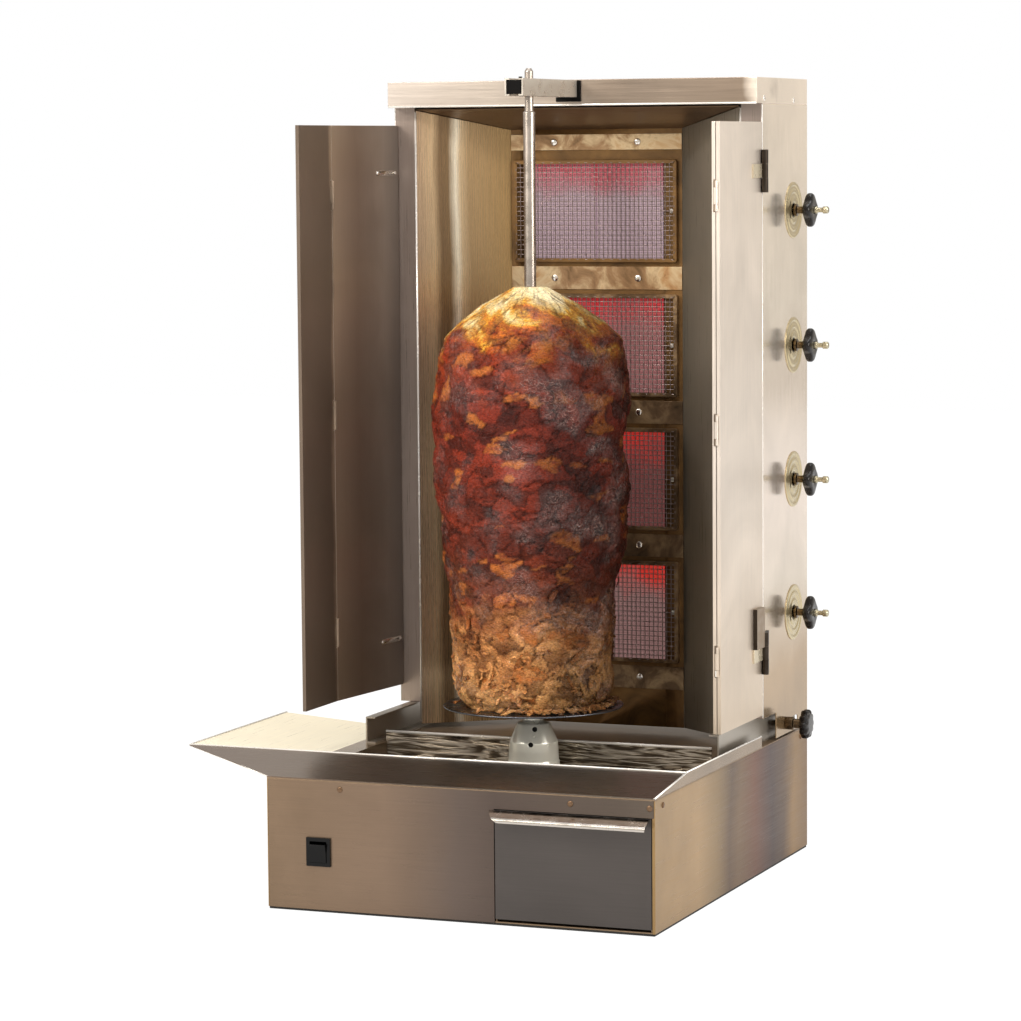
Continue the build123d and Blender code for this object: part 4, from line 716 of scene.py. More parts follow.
def value_noise(rng: np.random.Generator, u: np.ndarray, v: np.ndarray, cells_u: int,
                cells_v: int) -> np.ndarray:
    """Smooth random field that repeats along u: lattice values blended by 3t^2 - 2t^3.

    Args:
        rng: Seeded generator.
        u: First parameter, 0 to 1, wrapping.
        v: Second parameter, 0 to 1.
        cells_u: Lattice cells along u.
        cells_v: Lattice cells along v.

    Returns:
        Values between -1 and 1, shaped as u.
    """
    lattice = rng.uniform(-1, 1, (cells_u, cells_v + 2))
    x, y = u * cells_u, np.clip(v, 0, 0.9999) * cells_v
    i, j = np.floor(x).astype(int), np.floor(y).astype(int)
    s, t = ((3 - 2 * part) * part * part for part in (x - i, y - j))
    i0, i1 = i % cells_u, (i + 1) % cells_u
    low = lattice[i0, j] * (1 - s) + lattice[i1, j] * s
    high = lattice[i0, j + 1] * (1 - s) + lattice[i1, j + 1] * s
    return low * (1 - t) + high * t


@dataclass
class TurningSpit:
    """Spit, plate, drive dome and the meat."""

    meat_bottom: float = 246.5
    meat_height: float = 562.8
    meat_radius: float = 133.0
    plate_radius: float = 121.8
    around: int = 416
    levels: int = 226
    slices: int = 1500
    layers: int = 6
    bulge: float = 2.0
    lobes: int = 5
    lobe_depth: float = 3.0
    lobe_turn: float = 137.5
    flakes: int = 380
    flake_thick: float = 1.1
    tommy_holes: tuple[tuple[float, float, float], ...] = ((14.0, 195.0, 8.5), (25.0, 215.0, 1.5))
    outline: tuple[tuple[float, float], ...] = (
        (0.70, 0.0), (0.805, 0.045), (0.82, 0.12), (0.83, 0.21), (0.875, 0.295), (0.92, 0.367),
        (0.965, 0.44), (0.982, 0.55), (0.995, 0.66), (1.0, 0.75), (0.983, 0.80), (0.942, 0.84),
        (0.868, 0.885), (0.742, 0.917), (0.52, 0.958), (0.17, 1.0))

    def plain_radius(self, share: np.ndarray) -> np.ndarray:
        """Radius of the meat's outline at shares of its height."""
        radii, tips = np.array(self.outline).T
        return self.meat_radius * np.interp(share, tips, radii)

    def cells(self, theta: np.ndarray, h: np.ndarray, rng: np.random.Generator) -> tuple[np.ndarray, ...]:
        """Slices as cells about random seeds, twice as wide as they are high.

        Args:
            theta: Angle of each point.
            h: Height share of each point.
            rng: Seeded generator.

        Returns:
            Distance to the nearest seed, gap to the next one, and the nearest seed's number.
        """
        seed_t, seed_h = rng.uniform(0, 2 * np.pi, self.slices), rng.uniform(-0.02, 1.02, self.slices)
        reach_t, reach_h = self.meat_radius, self.meat_height * 2.1
        wrapped = np.concatenate([seed_t - 2 * np.pi, seed_t, seed_t + 2 * np.pi]) * reach_t
        heights = np.tile(seed_h, 3) * reach_h
        flat_t, flat_h = theta.ravel() * reach_t, h.ravel() * reach_h
        near, edge, which = np.empty(h.size), np.empty(h.size), np.empty(h.size, int)
        for start in range(0, h.size, 8192):
            part = slice(start, start + 8192)
            away = np.hypot(flat_t[part, None] - wrapped, flat_h[part, None] - heights)
            pair = np.argpartition(away, 1, axis=1)[:, :2]
            first, second = np.take_along_axis(away, pair, 1).T
            near[part], edge[part], which[part] = first, second - first, pair[:, 0] % self.slices
        return near.reshape(h.shape), edge.reshape(h.shape), which.reshape(h.shape)

    def meat(self) -> Piece:
        """Stacked meat: a turned outline pushed in and out by slices, folds and loose edges.

        The radius is outline(h) * R + bulge * sin(2 pi * layers * h)
        - depth * (1 - sin(lobes * angle + turn * h)) + lumps + folds,
        where lumps rise in each cell's middle and fall at creases.
        """
        rng = np.random.default_rng(20240)
        share = np.linspace(0, 1, self.levels)
        h, theta = np.meshgrid(share, np.linspace(0, 2 * np.pi, self.around, endpoint=False), indexing="ij")
        u = theta / (2 * np.pi)
        noise = partial(value_noise, rng, u, h)
        warp_t = 0.07 * noise(24, 30) + 0.03 * noise(60, 80)
        warp_h = 0.016 * noise(20, 26) + 0.006 * noise(70, 90)
        near, edge, which = self.cells(theta + warp_t, h + warp_h, rng)
        crease = np.clip(1 - edge / 5.0, 0, 1) ** 1.5 * np.clip(0.62 + 0.9 * noise(34, 44), 0, 1)
        lift = rng.uniform(-1, 1, self.slices)[which]
        tilt = value_noise(rng, u, h * 0.999, 60, 70)
        lump = 1.5 * lift + 1.1 * (1 - np.clip(near / 20, 0, 1) ** 2) - 2.6 * crease + 0.8 * tilt
        fold = 1.3 * noise(7, 8) + 1.0 * noise(16, 22)
        rough = 0.6 * noise(90, 110) + 0.4 * noise(180, 200)
        body = (self.plain_radius(share) + self.bulge * np.sin(2 * np.pi * self.layers * share))[:, None]
        turn = math.radians(self.lobe_turn) * self.layers * share[:, None]
        body = body - self.lobe_depth * body / self.meat_radius * (1 - np.sin(self.lobes * theta + turn))
        calm = np.clip((1 - share) / 0.12, 0.2, 1)[:, None]
        radius = np.minimum(body + (lump + fold + rough) * calm, self.meat_radius + 2.6)
        ripple = noise(40, 50) * calm * (h > 0.01) * (h < 0.99)
        height = self.meat_bottom + self.meat_height * h + ripple
        grid = np.stack([radius * np.cos(theta), SPIT_Y + radius * np.sin(theta), height], -1)
        made = closed_grid("meat_roast", grid)
        tint = np.clip(rng.uniform(-0.1, 1.1, self.slices), 0, 1)[which]
        fatty = (rng.uniform(0, 1, self.slices) > 0.87).astype(float)[which] * (h < 0.86)
        blend, patchy = 0.5 + 0.5 * noise(30, 40), 0.5 + 0.5 * noise(110, 130)
        # The crease value goes to the shader, which paints it dark as shade.
        self.store(made, np.clip(tint * 0.7 + 0.4 * blend - 0.05, 0, 1), np.clip(crease * 0.8, 0, 1),
                   np.clip(fatty * (1 - crease) * patchy * 1.3, 0, 0.85))
        return made

    def store(self, made: Piece, tint: np.ndarray, crease: np.ndarray, fat: np.ndarray) -> None:
        """Store slice tint, crease and fat on the points of a piece, in the points' order."""
        values = np.stack([tint, crease, fat, np.ones_like(fat)], -1).astype(np.float32)
        made.data.attributes.new("slices", "FLOAT_COLOR", "POINT").data.foreach_set("color", values.ravel())

    def shavings(self) -> Piece:
        """Thin curled shavings that cling to the lower meat and lie on the plate round its foot.

        Each one is a grid over s and t from -1 to 1: long * s along its heading,
        wide * t * (1 - 0.4 s^2) across, lifted by curl * s^2 + 0.8 sin(4 s + phase)
        and backed by the same grid a little lower.
        """
        rng = np.random.default_rng(77)
        rows, columns, count = 7, 4, self.flakes
        s, t = np.meshgrid(np.linspace(-1, 1, rows), np.linspace(-1, 1, columns), indexing="ij")
        s, t = s.reshape(1, -1, 1), t.reshape(1, -1, 1)
        fallen = rng.uniform(0, 1, count) < 0.25
        angle = np.where(fallen, rng.normal(-0.5, 0.7, count), rng.uniform(0, 2 * np.pi, count))
        h = np.where(fallen, 0.004, rng.beta(1.0, 2.2, count) * 0.3 + 0.02)
        on_plate = rng.uniform(100.0, 112.0, count)
        on_meat = self.plain_radius(h) - self.lobe_depth * 0.6 + rng.uniform(0.2, 2.2, count)
        out = np.stack([np.cos(angle), np.sin(angle), np.zeros(count)], -1)
        normal = out + np.where(fallen, 3.0, 0.0)[:, None] * UP + rng.normal(0, 0.16, (count, 3))
        normal /= np.linalg.norm(normal, axis=1)[:, None]
        heading = np.cross(normal, rng.normal(0, 1, (count, 3)) + np.where(fallen, 0.0, 0.8)[:, None] * out)
        heading /= np.linalg.norm(heading, axis=1)[:, None]
        across = np.cross(normal, heading)
        place = out * np.where(fallen, on_plate, on_meat)[:, None] + (0, SPIT_Y, self.meat_bottom + 2.6)
        place[:, 2] += h * self.meat_height
        long, wide, curl = (rng.uniform(low, high, count)[:, None, None]
                            for low, high in ((4, 12), (1.5, 4), (-1.5, 2.6)))
        wave = 0.8 * np.sin(4 * s + rng.uniform(0, 6, count)[:, None, None])
        top = (place[:, None] + long * s * heading[:, None] + wide * t * (1 - 0.4 * s ** 2) * across[:, None]
               + (curl * s ** 2 + wave) * normal[:, None])
        pair = np.concatenate([top, top - self.flake_thick * normal[:, None]], 1)
        pair[..., 2] = np.maximum(pair[..., 2], self.meat_bottom + 0.2)
        size = pair.shape[1]
        faces = (slab_faces(rows, columns) + size * np.arange(count)[:, None, None]).reshape(-1, 4)
        made = object_from("meat_shavings", pair, faces)
        tint, fat = (np.repeat(rng.uniform(0, high, count), size) for high in (1.0, 0.45))
        self.store(made, tint, np.zeros_like(tint), fat)
        return made

    def shaft(self) -> Piece:
        """Spit with a thin neck above and a square tang that drops into the dome."""
        profile = [(0, 230.6), (8, 230.6), (8, 1042), (5.75, 1042.6), (5.75, 1096), (3.4, 1100), (0, 1100)]
        rod = lathe("spit_shaft", profile, (0, SPIT_Y, 0), Axis.Z, 48, 0.8)
        square = 5.5 * np.array([(-1, -1), (1, -1), (1, 1), (-1, 1)])
        rows = ((214.5, 0.86), (216.0, 1.0), (231.0, 1.0))
        tang = closed_grid("spit_tang", np.array([[(x * size, SPIT_Y + y * size, z) for x, y in square]
                                                  for z, size in rows]))
        return joined("spit_shaft", [rod, shade(tang, False)])

    def plate(self) -> Piece:
        """Meat plate: a thin dish with a rolled edge and a hub."""
        r = self.plate_radius
        profile = [(8.1, 230.4), (14, 230.4), (14, 240.5), (17, 243.6), (r - 3, 243.6), (r, 244.2),
                   (r, 246.2), (r - 3, 246.6), (8.1, 246.5)]
        return ring("meat_dish", profile, (0, SPIT_Y, 0), Axis.Z, 128, 0.8)

    def dome(self) -> Piece:
        """Drive dome with steps, a turned neck and two tommy-bar holes, each with a near-black cylinder
        inside as painted shade.
        """
        profile = [(0, 165), (30, 165), (30, 152.2), (35.3, 152.2), (35.3, 169), (34.2, 171), (33.6, 184),
                   (32.6, 196), (22.6, 220.5), (20, 222.2), (14.6, 223.5), (12.9, 225.6), (12.9, 229.8),
                   (8.6, 229.8), (8.6, 226), (0, 226)]
        turned = rounded(profile, 0.9)
        reach = np.concatenate([[0], np.cumsum(np.linalg.norm(np.diff(turned, axis=0), axis=1))])
        fine = np.union1d(reach, np.arange(0, reach[-1], 2.0))
        turned = np.stack([np.interp(fine, reach, turned[:, k]) for k in (0, 1)], -1)
        body = closed_grid("drive_bell", lathe_grid(turned, (0, SPIT_Y, 0), Axis.Z, 112))
        hole_shades = []
        for angle, height, depth in self.tommy_holes:
            out = np.array([math.sin(math.radians(angle)), -math.cos(math.radians(angle)), 0.0])
            inner = np.array([0, SPIT_Y, height]) + out * 22.0
            self.cut(body, bar("cutter", inner, out, 3.5, 22.0, 32))
            # A near-black cylinder deep in each hole paints its shade.
            hole_shades.append(coat(bar("hole_shade_plug", inner, out, 3.45, depth, 24), HOLE_SHADE))
        return joined("drive_bell", [coat(body, DOME_STEEL), *hole_shades])

    def cut(self, body: Piece, cutter: Piece) -> None:
        """Take one piece away from another."""
        hole = body.modifiers.new("hole", "BOOLEAN")
        hole.operation, hole.solver, hole.object = "DIFFERENCE", "EXACT", cutter
        with bpy.context.temp_override(object=body, active_object=body):
            bpy.ops.object.modifier_apply(modifier=hole.name)
        bpy.data.objects.remove(cutter)

    def build(self) -> None:
        """Make and dress every turning piece."""
        dress(self.meat(), MEAT, "spit", "roast_meat", "meat")
        dress(self.shavings(), MEAT, "spit", "roast_meat")
        dress(self.shaft(), SATIN_ROD, "spit", "polished_steel", "spit_rod")
        dress(self.plate(), DARK_STEEL, "spit", "plate_steel", "meat_plate")
        dress(self.dome(), DOME_STEEL, "drive", "polished_steel", "drive_dome")


@dataclass
class Knobs:
    """Gas knobs, safety buttons, escutcheons and the clamp knob, all turned about X."""

    standoff: float = 18.0
    knob_radius: float = 23.4
    knob_thick: float = 13.0
    button_radius: float = 5.0
    button_proud: float = 20.0
    clamp_spot: Spot = (BASE_HALF_W, 225.0, 193.0)
    clamp_gap: float = 0.3

    def gas_knob(self, number: int, spot: Spot) -> Piece:
        """Knob whose rim dips between four lobes, on its stem.

        Args:
            number: Burner number.
            spot: Where its axis meets the panel.

        Returns:
            The knob.
        """
        s, t, r = self.standoff, self.knob_thick, self.knob_radius
        body = [(7.0, s), (14, s), (18, s + 0.6), (r - 2, s + 1.6), (r, s + 4.0), (r, s + 9.0),
                (r - 2, s + 11.6), (18, s + 12.4), (14, s + t), (5.3, s + t), (5.3, s + 3), (7.0, s + 3)]
        grip = ring("grip", body, spot, Axis.X, 96, 1.4, lobes=4, depth=0.3, from_radius=12.0)
        pin = [(0, -7.6), (6, -7.6), (6, 2), (8.6, 2.2), (8.6, 6), (5.0, 6.6), (5.0, s - 4), (6.8, s - 3.4),
               (6.8, s + 2.0), (0, s + 2.0)]
        stem = lathe("stem", pin, spot, Axis.X, 32, 0.5)
        return joined(f"knob_grip_{number}", [coat(grip, BLACK_KNOB), coat(stem, STEM_BRASS)])

    def button(self, number: int, spot: Spot) -> Piece:
        """Push button with a waist and a domed end."""
        tip, r = self.standoff + self.knob_thick + self.button_proud, self.button_radius
        profile = [(0, tip - 24.7), (r, tip - 24.7), (r, tip - 16), (r - 1.6, tip - 15.4),
                   (r - 1.6, tip - 8.2), (r, tip - 7.6), (r, tip - 1.4), (r - 1.4, tip), (0, tip)]
        return lathe(f"button_pin_{number}", profile, spot, Axis.X, 36, 0.35)

    def escutcheon(self, spot: Spot) -> Piece:
        """Pressed disc with a rolled edge and raised rings."""
        profile = [(10.1, 0.02), (38.9, 0.02), (38.9, 1.0), (37.5, 1.5), (34.5, 1.5), (33, 0.5), (30, 0.5),
                   (28, 1.5), (25, 1.5), (23, 0.5), (20, 0.5), (17, 1.5), (13, 1.5), (10.1, 1.2)]
        return ring("escutcheon", profile, spot, Axis.X, 96, 0.4)

    def clamp(self) -> Piece:
        """Fluted clamp knob on a threaded stem."""
        s = self.clamp_gap
        grip = [(0, s + 21), (9, s + 21), (12, s + 23), (19, s + 23.6), (20.6, s + 26), (20.6, s + 32),
                (18.5, s + 34.8), (12, s + 36), (0, s + 36)]
        head = lathe("clamp_grip", grip, self.clamp_spot, Axis.X, 120, 1.6, lobes=10, depth=0.16,
                     from_radius=9.0)
        pin = [(0, -17.8), (4, -17.8), (4, s), (9, s), (9, s + 11), (6.5, s + 12), (6.5, s + 22), (0, s + 22)]
        stem = lathe("clamp_stem", pin, self.clamp_spot, Axis.X, 40, 0.5)
        return joined("clamp_grip", [coat(head, BLACK_KNOB), coat(stem, STEM_BRASS)])

    def build(self) -> None:
        """Make and dress every knob."""
        discs = []
        for number, z in enumerate(BURNER_Z, start=1):
            spot = (BASE_HALF_W, VALVE_Y, z)
            dress(self.gas_knob(number, spot), BLACK_KNOB, f"knob_{number}", "black_plastic",
                  f"gas_knob_{number}")
            dress(self.button(number, spot), BUTTON_METAL, f"button_{number}", "polished_steel",
                  f"safety_button_{number}")
            discs.append(self.escutcheon(spot))
        dress(joined("knob_discs", discs), PALE_DISC, "cabinet", "polished_steel", "escutcheons")
        dress(self.clamp(), BLACK_KNOB, "clamp", "black_plastic", "clamp_knob")


@dataclass
class Burners:
    """Wire guards, electrodes, strips and plaques of the burner wall."""

    guard_w: float = 243.0
    guard_h: float = 143.0
    pitch: float = 6.3
    wire_radius: float = 0.62
    net_y: float = 196.4
    electrode_x: float = 112.0
    electrode_y: float = 198.6

    def wires(self, z: float) -> tuple[np.ndarray, np.ndarray]:
        """Woven net: each wire is a square tube along a cosine wave that passes over and under.

        Args:
            z: Height of the burner's middle.

        Returns:
            Points and quads of all the wires, first the upright and then the level ones.
        """
        half = np.array([self.guard_w / 2 - 4, self.guard_h / 2 - 4])
        counts = (2 * half / self.pitch).astype(int)
        corner = 0.85 * self.wire_radius * np.array([(1, 1), (-1, 1), (-1, -1), (1, -1)])
        points, faces, first = [], [], 0
        for level in (0, 1):
            count, crossings, reach = counts[level], counts[1 - level], half[1 - level]
            run = np.linspace(-reach, reach, 2 * crossings + 1)
            wave = np.cos(np.pi * (crossings * run / (2 * reach) + np.arange(count)[:, None]))
            grid = np.empty((count, run.size, 4, 3))
            grid[..., 2 * level] = np.linspace(-half[level], half[level], count)[:, None, None] + corner[:, 0]
            grid[..., 2 - 2 * level] = run[:, None]
            grid[..., 1] = self.net_y + (1 - 2 * level) * self.wire_radius * wave[..., None] + corner[:, 1]
            starts = first + 4 * run.size * np.arange(count)[:, None, None]
            faces.append((quads(run.size, 4, False, True) + starts).reshape(-1, 4))
            points.append(grid.reshape(-1, 3))
            first += grid.size // 3
        return np.concatenate(points) + z * UP, np.concatenate(faces)

    def border(self, z: float) -> Piece:
        """Folded border: a channel section carried round a rectangle with rounded corners."""
        w, h, r = self.guard_w / 2 - 0.1, self.guard_h / 2 - 0.1, 4.0
        turns = [np.linspace(0, np.pi / 2, 5) + k * np.pi / 2 for k in range(4)]
        middles = ((w - r, h - r), (-w + r, h - r), (-w + r, -h + r), (w - r, -h + r))
        loop = np.concatenate([np.stack([x + r * np.cos(a), y + r * np.sin(a), np.cos(a), np.sin(a)], -1)
                               for (x, y), a in zip(middles, turns)])[:, None]
        section = np.array([(0, 202.9), (0, 196.4), (-0.6, 195.6), (-5.5, 195.6), (-5.5, 197.0),
                            (-1.6, 197.0), (-1.6, 202.9)])
        grid = np.empty((len(loop), len(section), 3))
        grid[..., 0] = loop[..., 0] + section[:, 0] * loop[..., 2]
        grid[..., 1] = section[:, 1]
        grid[..., 2] = z + loop[..., 1] + section[:, 0] * loop[..., 3]
        return shade(outward(object_from("guard_border", grid, quads(*grid.shape[:2], True, True))), False)

    def electrode(self, z: float) -> Piece:
        """White ceramic rod with its bent wire."""
        x, y = self.electrode_x, self.electrode_y
        profile = [(0, y), (2.6, y), (3.4, y + 2), (3.4, y + 41), (0, y + 41)]
        rod = lathe("electrode", profile, (x, 0, z), Axis.Y, 24)
        wire = lathe("wire", [(0, -16), (0.9, -16), (0.9, 0), (0, 0)], (x, y + 1.4, z), Axis.X, 12, 0.2)
        return joined("electrode", [coat(rod, CERAMIC), coat(wire, POLISHED)])

    def build(self) -> None:
        """Make the guards and electrodes and dress the plaques and strips."""
        for number, z in enumerate(BURNER_Z, start=1):
            net = coat(object_from("net", *self.wires(z)), WIRE)
            edge = coat(self.border(z), STRIP_DARK if number > 1 else WALL_SHEET)
            dress(joined(f"wire_guard_{number}", [net, edge]), WIRE, "cabinet", "wire_steel",
                  *(["burner_guards"] if number == 1 else []))
        spikes = joined("igniters", [self.electrode(z) for z in BURNER_Z])
        dress(spikes, CERAMIC, "cabinet", "electrode_ceramic", "ignition_electrodes")
        plaques = softened("burner_plaques", 0.8)
        nearest = np.abs(faces_of(plaques)[0][:, 2:] - BURNER_Z).argmin(1)
        coat(plaques, *PLAQUE_FINISHES, kind=nearest)
        dress(plaques, PLAQUE_FINISHES[0], "cabinet", "hot_ceramic", "burner_plaques")
        strips = softened("burner_strips", 0.4)
        coat(strips, STRIP_GOLD, STRIP_DARK, kind=faces_of(strips)[0][:, 2] < BURNER_Z[1])
        dress(strips, STRIP_GOLD, "cabinet", "tinted_strip", "burner_strips")


@dataclass
class SheetWork:
    """Folded sheets of the base, cabinet and doors, with near-white beads that paint highlights along edges.
    """

    skins: tuple[tuple[str, Finish, str, str, float], ...] = (
        ("base_front_panel", FRONT_SHEET, "base", "brushed_panel", 0.4),
        ("base_right_panel", BASE_SIDE, "base", "brushed_panel", 0.5),
        ("base_left_panel", BASE_SIDE, "base", "brushed_panel", 0.5),
        ("base_rear_panel", PLAIN_SHEET, "base", "brushed_panel", 0.4),
        ("base_deck", INNER_SHEET, "base", "brushed_panel", 0.3),
        ("slide_rails", PLAIN_SHEET, "base", "tray_steel", 0.4),
        ("cabinet_rear_panel", PLAIN_SHEET, "cabinet", "brushed_panel", 0.4),
        ("cabinet_floor", INNER_SHEET, "cabinet", "brushed_panel", 0.3),
        ("hood", HOOD_SHEET, "cabinet", "brushed_panel", 0.8),
        ("reflector_left", REFLECTOR_LEFT, "cabinet", "reflector_steel", 0.4),
        ("reflector_right", REFLECTOR_RIGHT, "cabinet", "reflector_steel", 0.4),
        ("reflector_top", ROOF_SHEET, "cabinet", "reflector_steel", 0.4),
        ("burner_frame", WALL_SHEET, "cabinet", "reflector_steel", 0.3),
        # The hinges are dark all over, painted shade.
        ("door_hinges", HINGE_SHADED, "cabinet", "polished_steel", 0.4),
        ("spit_arm", ARM_STEEL, "cabinet", "polished_steel", 0.5),
        ("arm_bracket", BLACK_PAINT, "cabinet", "black_steel", 0.8),
        ("arm_gate", BLACK_PAINT, "gate", "black_steel", 0.5),
        ("door_right_leaf", DOOR_OUTER, "right_leaf", "brushed_panel", 0.6),
        # The left leaf takes the darker door sheet, painted shade and reflections.
        ("door_left_leaf", DOOR_SHADED, "left_leaf", "brushed_panel", 0.6),
        ("drawer", DRAWER_SHEET, "drawer_body", "brushed_panel", 0.5),
        ("switch_housing", BLACK_SWITCH, "base", "black_plastic", 1.1),
        ("rocker", BLACK_SWITCH, "switch_rocker", "black_plastic", 1.8),
        ("cable_gland", BLACK_KNOB, "base", "black_plastic", 0.6),
        ("foot_strip", RUBBER, "base", "rubber", 0.6),
    )
    left_angle: float = 6.5
    stop_z: float = 342.0
    bolt_z: tuple[float, float] = (961.0, 305.0)
    bolt_y: tuple[float, float] = (61.7, 109.7)
    strap_radius: float = 3.6

    def straps(self, body: str, side: float, turn: float) -> None:
        """Flat straps with round ends over the bolts on a door's inner face.

        Args:
            body: Body that they ride on.
            side: 1 for the right door, -1 for the left one.
            turn: Angle in radians that the door stands open beyond square.
        """
        near, far = (y - HINGE_Y for y in self.bolt_y)
        t = np.linspace(-np.pi / 2, np.pi / 2, 9)
        arc = self.strap_radius * np.stack([np.cos(t), np.sin(t)], -1)
        dy, up = np.concatenate([(far, 0) + arc, (near, 0) - arc]).T
        made = []
        for z in self.bolt_z:
            rows = []
            for depth, size in ((5.05, 1.0), (6.1, 1.0), (6.4, 0.9)):
                dx = DOOR_X - depth - HINGE_X
                rows.append(np.stack([side * (HINGE_X + dx * math.cos(turn) - dy * math.sin(turn)),
                                      HINGE_Y + dx * math.sin(turn) + dy * math.cos(turn),
                                      z + up * size], -1))
            made.append(closed_grid("strap", np.array(rows)))
        dress(joined(f"{body}_straps", made), POLISHED, body, "polished_steel")

    def door(self, node: str, body: str, side: float, turn: float) -> None:
        """Door skin with its outer, inner and hinge metal told apart by place, with shade and highlight
        painted on the hinge, the stop and the inner side.

        Args:
            node: CAD node of the door.
            body: Body that it rides on.
            side: 1 for the right door, -1 for the left one.
            turn: Angle in radians that the door stands open beyond square.
        """
        outer, inner, lit_hinge, bright, brown, dark = range(6)
        skin = softened(node, 0.6)
        centres, normals = faces_of(skin)
        dx, dy = side * centres[:, 0] - HINGE_X, centres[:, 1] - HINGE_Y
        across = HINGE_X + dx * math.cos(turn) + dy * math.sin(turn)
        facing = side * normals[:, 0] * math.cos(turn) + normals[:, 1] * math.sin(turn)
        # Inner faces take the darker door sheet, which paints shade and reflections.
        kind = np.where(facing < -0.5, inner, outer)
        stop = (across > DOOR_X + 0.3) & (np.abs(centres[:, 2] - self.stop_z) < 28.5)
        bolts = np.abs(centres[:, 2:] - np.array(self.bolt_z)).min(1) < 9.0
        # Hinge metal just proud of the door is painted light as a highlight; further out it is painted dark
        # as shade.
        kind[(across > DOOR_X + 0.3) & (dy > -60.0)] = lit_hinge
        kind[(across > DOOR_X + 3.5) & (dy > -60.0)] = dark
        kind[across < DOOR_X - 5.2] = inner
        kind[(across < DOOR_X - 5.2) & bolts] = bright
        kind[stop] = brown
        # Front faces of the stop are painted dark, a painted shadow of the gap beside it.
        kind[stop & (normals[:, 1] < -0.5)] = dark
        coat(skin, DOOR_OUTER, DOOR_SHADED, HINGE_LIT, POLISHED, STOP_BROWN, HINGE_SHADED, kind=kind)
        dress(skin, DOOR_OUTER, body, "brushed_panel", node)

    def panel(self, node: str) -> None:
        """Cabinet side whose folded front flange is painted darker than the side, as shade."""
        skin = softened(node, 0.5)
        x, y, _ = faces_of(skin)[0].T
        coat(skin, SIDE_SHEET, FLANGE_SHADED, kind=(np.abs(x) < BASE_HALF_W - 3.0) & (y < CAB_FRONT + 2.0))
        dress(skin, SIDE_SHEET, "cabinet", "brushed_panel", node)

    def tray(self) -> None:
        """Catch tray in four finishes by place: apron, pan, wing and the wetted back wall, whose grease film
        carries painted reflections.
        """
        apron, pan, wing, wet = range(4)
        skin = softened("catch_tray", 0.5)
        centres, normals = faces_of(skin)
        x, y, _ = centres.T
        kind = np.full(len(centres), pan)
        kind[y < RIM_Y + 1.6] = apron
        kind[(x < -BASE_HALF_W) & (y > RIM_Y + 1.6)] = wing
        # The wetted back wall takes the grease finish with its painted reflections.
        kind[(normals[:, 1] < -0.7) & (np.abs(y - PAN_BACK) < 2.5)] = wet
        coat(skin, APRON_SHEET, PAN_SHEET, WING_SHEET, GREASE, kind=kind)
        dress(skin, APRON_SHEET, "base", "tray_steel", "catch_tray")

    def bead(self, radius: float, *path: Spot) -> Piece:
        """Round hem: a circle carried along straight runs, square to the mean direction at each corner.

        Args:
            radius: Hem radius.
            path: Corner points in millimetres.

        Returns:
            The closed tube.
        """
        points = np.array(path, float)
        steps = np.diff(points, axis=0)
        steps /= np.linalg.norm(steps, axis=1)[:, None]
        heading = np.vstack([steps[:1], (steps[:-1] + steps[1:]) / 2, steps[-1:]])
        heading /= np.linalg.norm(heading, axis=1)[:, None]
        side = np.cross(heading, UP if abs(heading[0, 2]) < 0.9 else np.array([1.0, 0, 0]))
        side /= np.linalg.norm(side, axis=1)[:, None]
        angle = np.linspace(0, 2 * np.pi, 14, endpoint=False)[:, None]
        loop = np.cos(angle) * side[:, None] + np.sin(angle) * np.cross(side, heading)[:, None]
        return closed_grid("hem", points[:, None] + radius * loop)

    def hems(self) -> None:
        """Rolled hems along the tray's rims and beads on the folded fronts of the cabinet, near-white as
        painted highlights on these edges.
        """
        left, right = WING_TIP + 0.6, BASE_HALF_W - 1.4
        rims = [self.bead(1.5, (left, WING_BACK, RIM_Z), (left, RIM_Y + 0.8, RIM_Z),
                          (right, RIM_Y + 0.8, RIM_Z), (right, TRAY_BACK, RIM_Z)),
                self.bead(1.9, (-PAN_HALF, PAN_BACK - 0.8, RIM_Z), (PAN_HALF, PAN_BACK - 0.8, RIM_Z)),
                self.bead(1.1, (WING_TIP + 1, RIM_Y + 0.6, RIM_Z - 1.4),
                          (-BASE_HALF_W + 0.6, FRONT_Y + 0.6, BASE_TOP + 0.6)),
                self.bead(1.2, (BASE_HALF_W - 1.0, FRONT_Y + 0.8, BASE_TOP + 1.0),
                          (BASE_HALF_W - 1.0, RIM_Y, RIM_Z))]
        dress(joined("tray_hems", rims), EDGE_HIGHLIGHT, "base", "tray_steel")
        folds = []
        lines = ((238.6, 0.6, 184.0, 1046.0, 1.5), (269.2, 0.5, 215.0, 1051.0, 1.0))
        for x, away, bottom, top, radius in lines:
            folds += [self.bead(radius, (s * x, CAB_FRONT + away, bottom), (s * x, CAB_FRONT + away, top))
                      for s in (-1, 1)]
        folds.append(self.bead(1.5, (-269.0, 97.7, 1052.7), (269.0, 97.7, 1052.7)))
        dress(joined("front_fold_highlights", folds), EDGE_HIGHLIGHT, "cabinet", "reflector_steel")

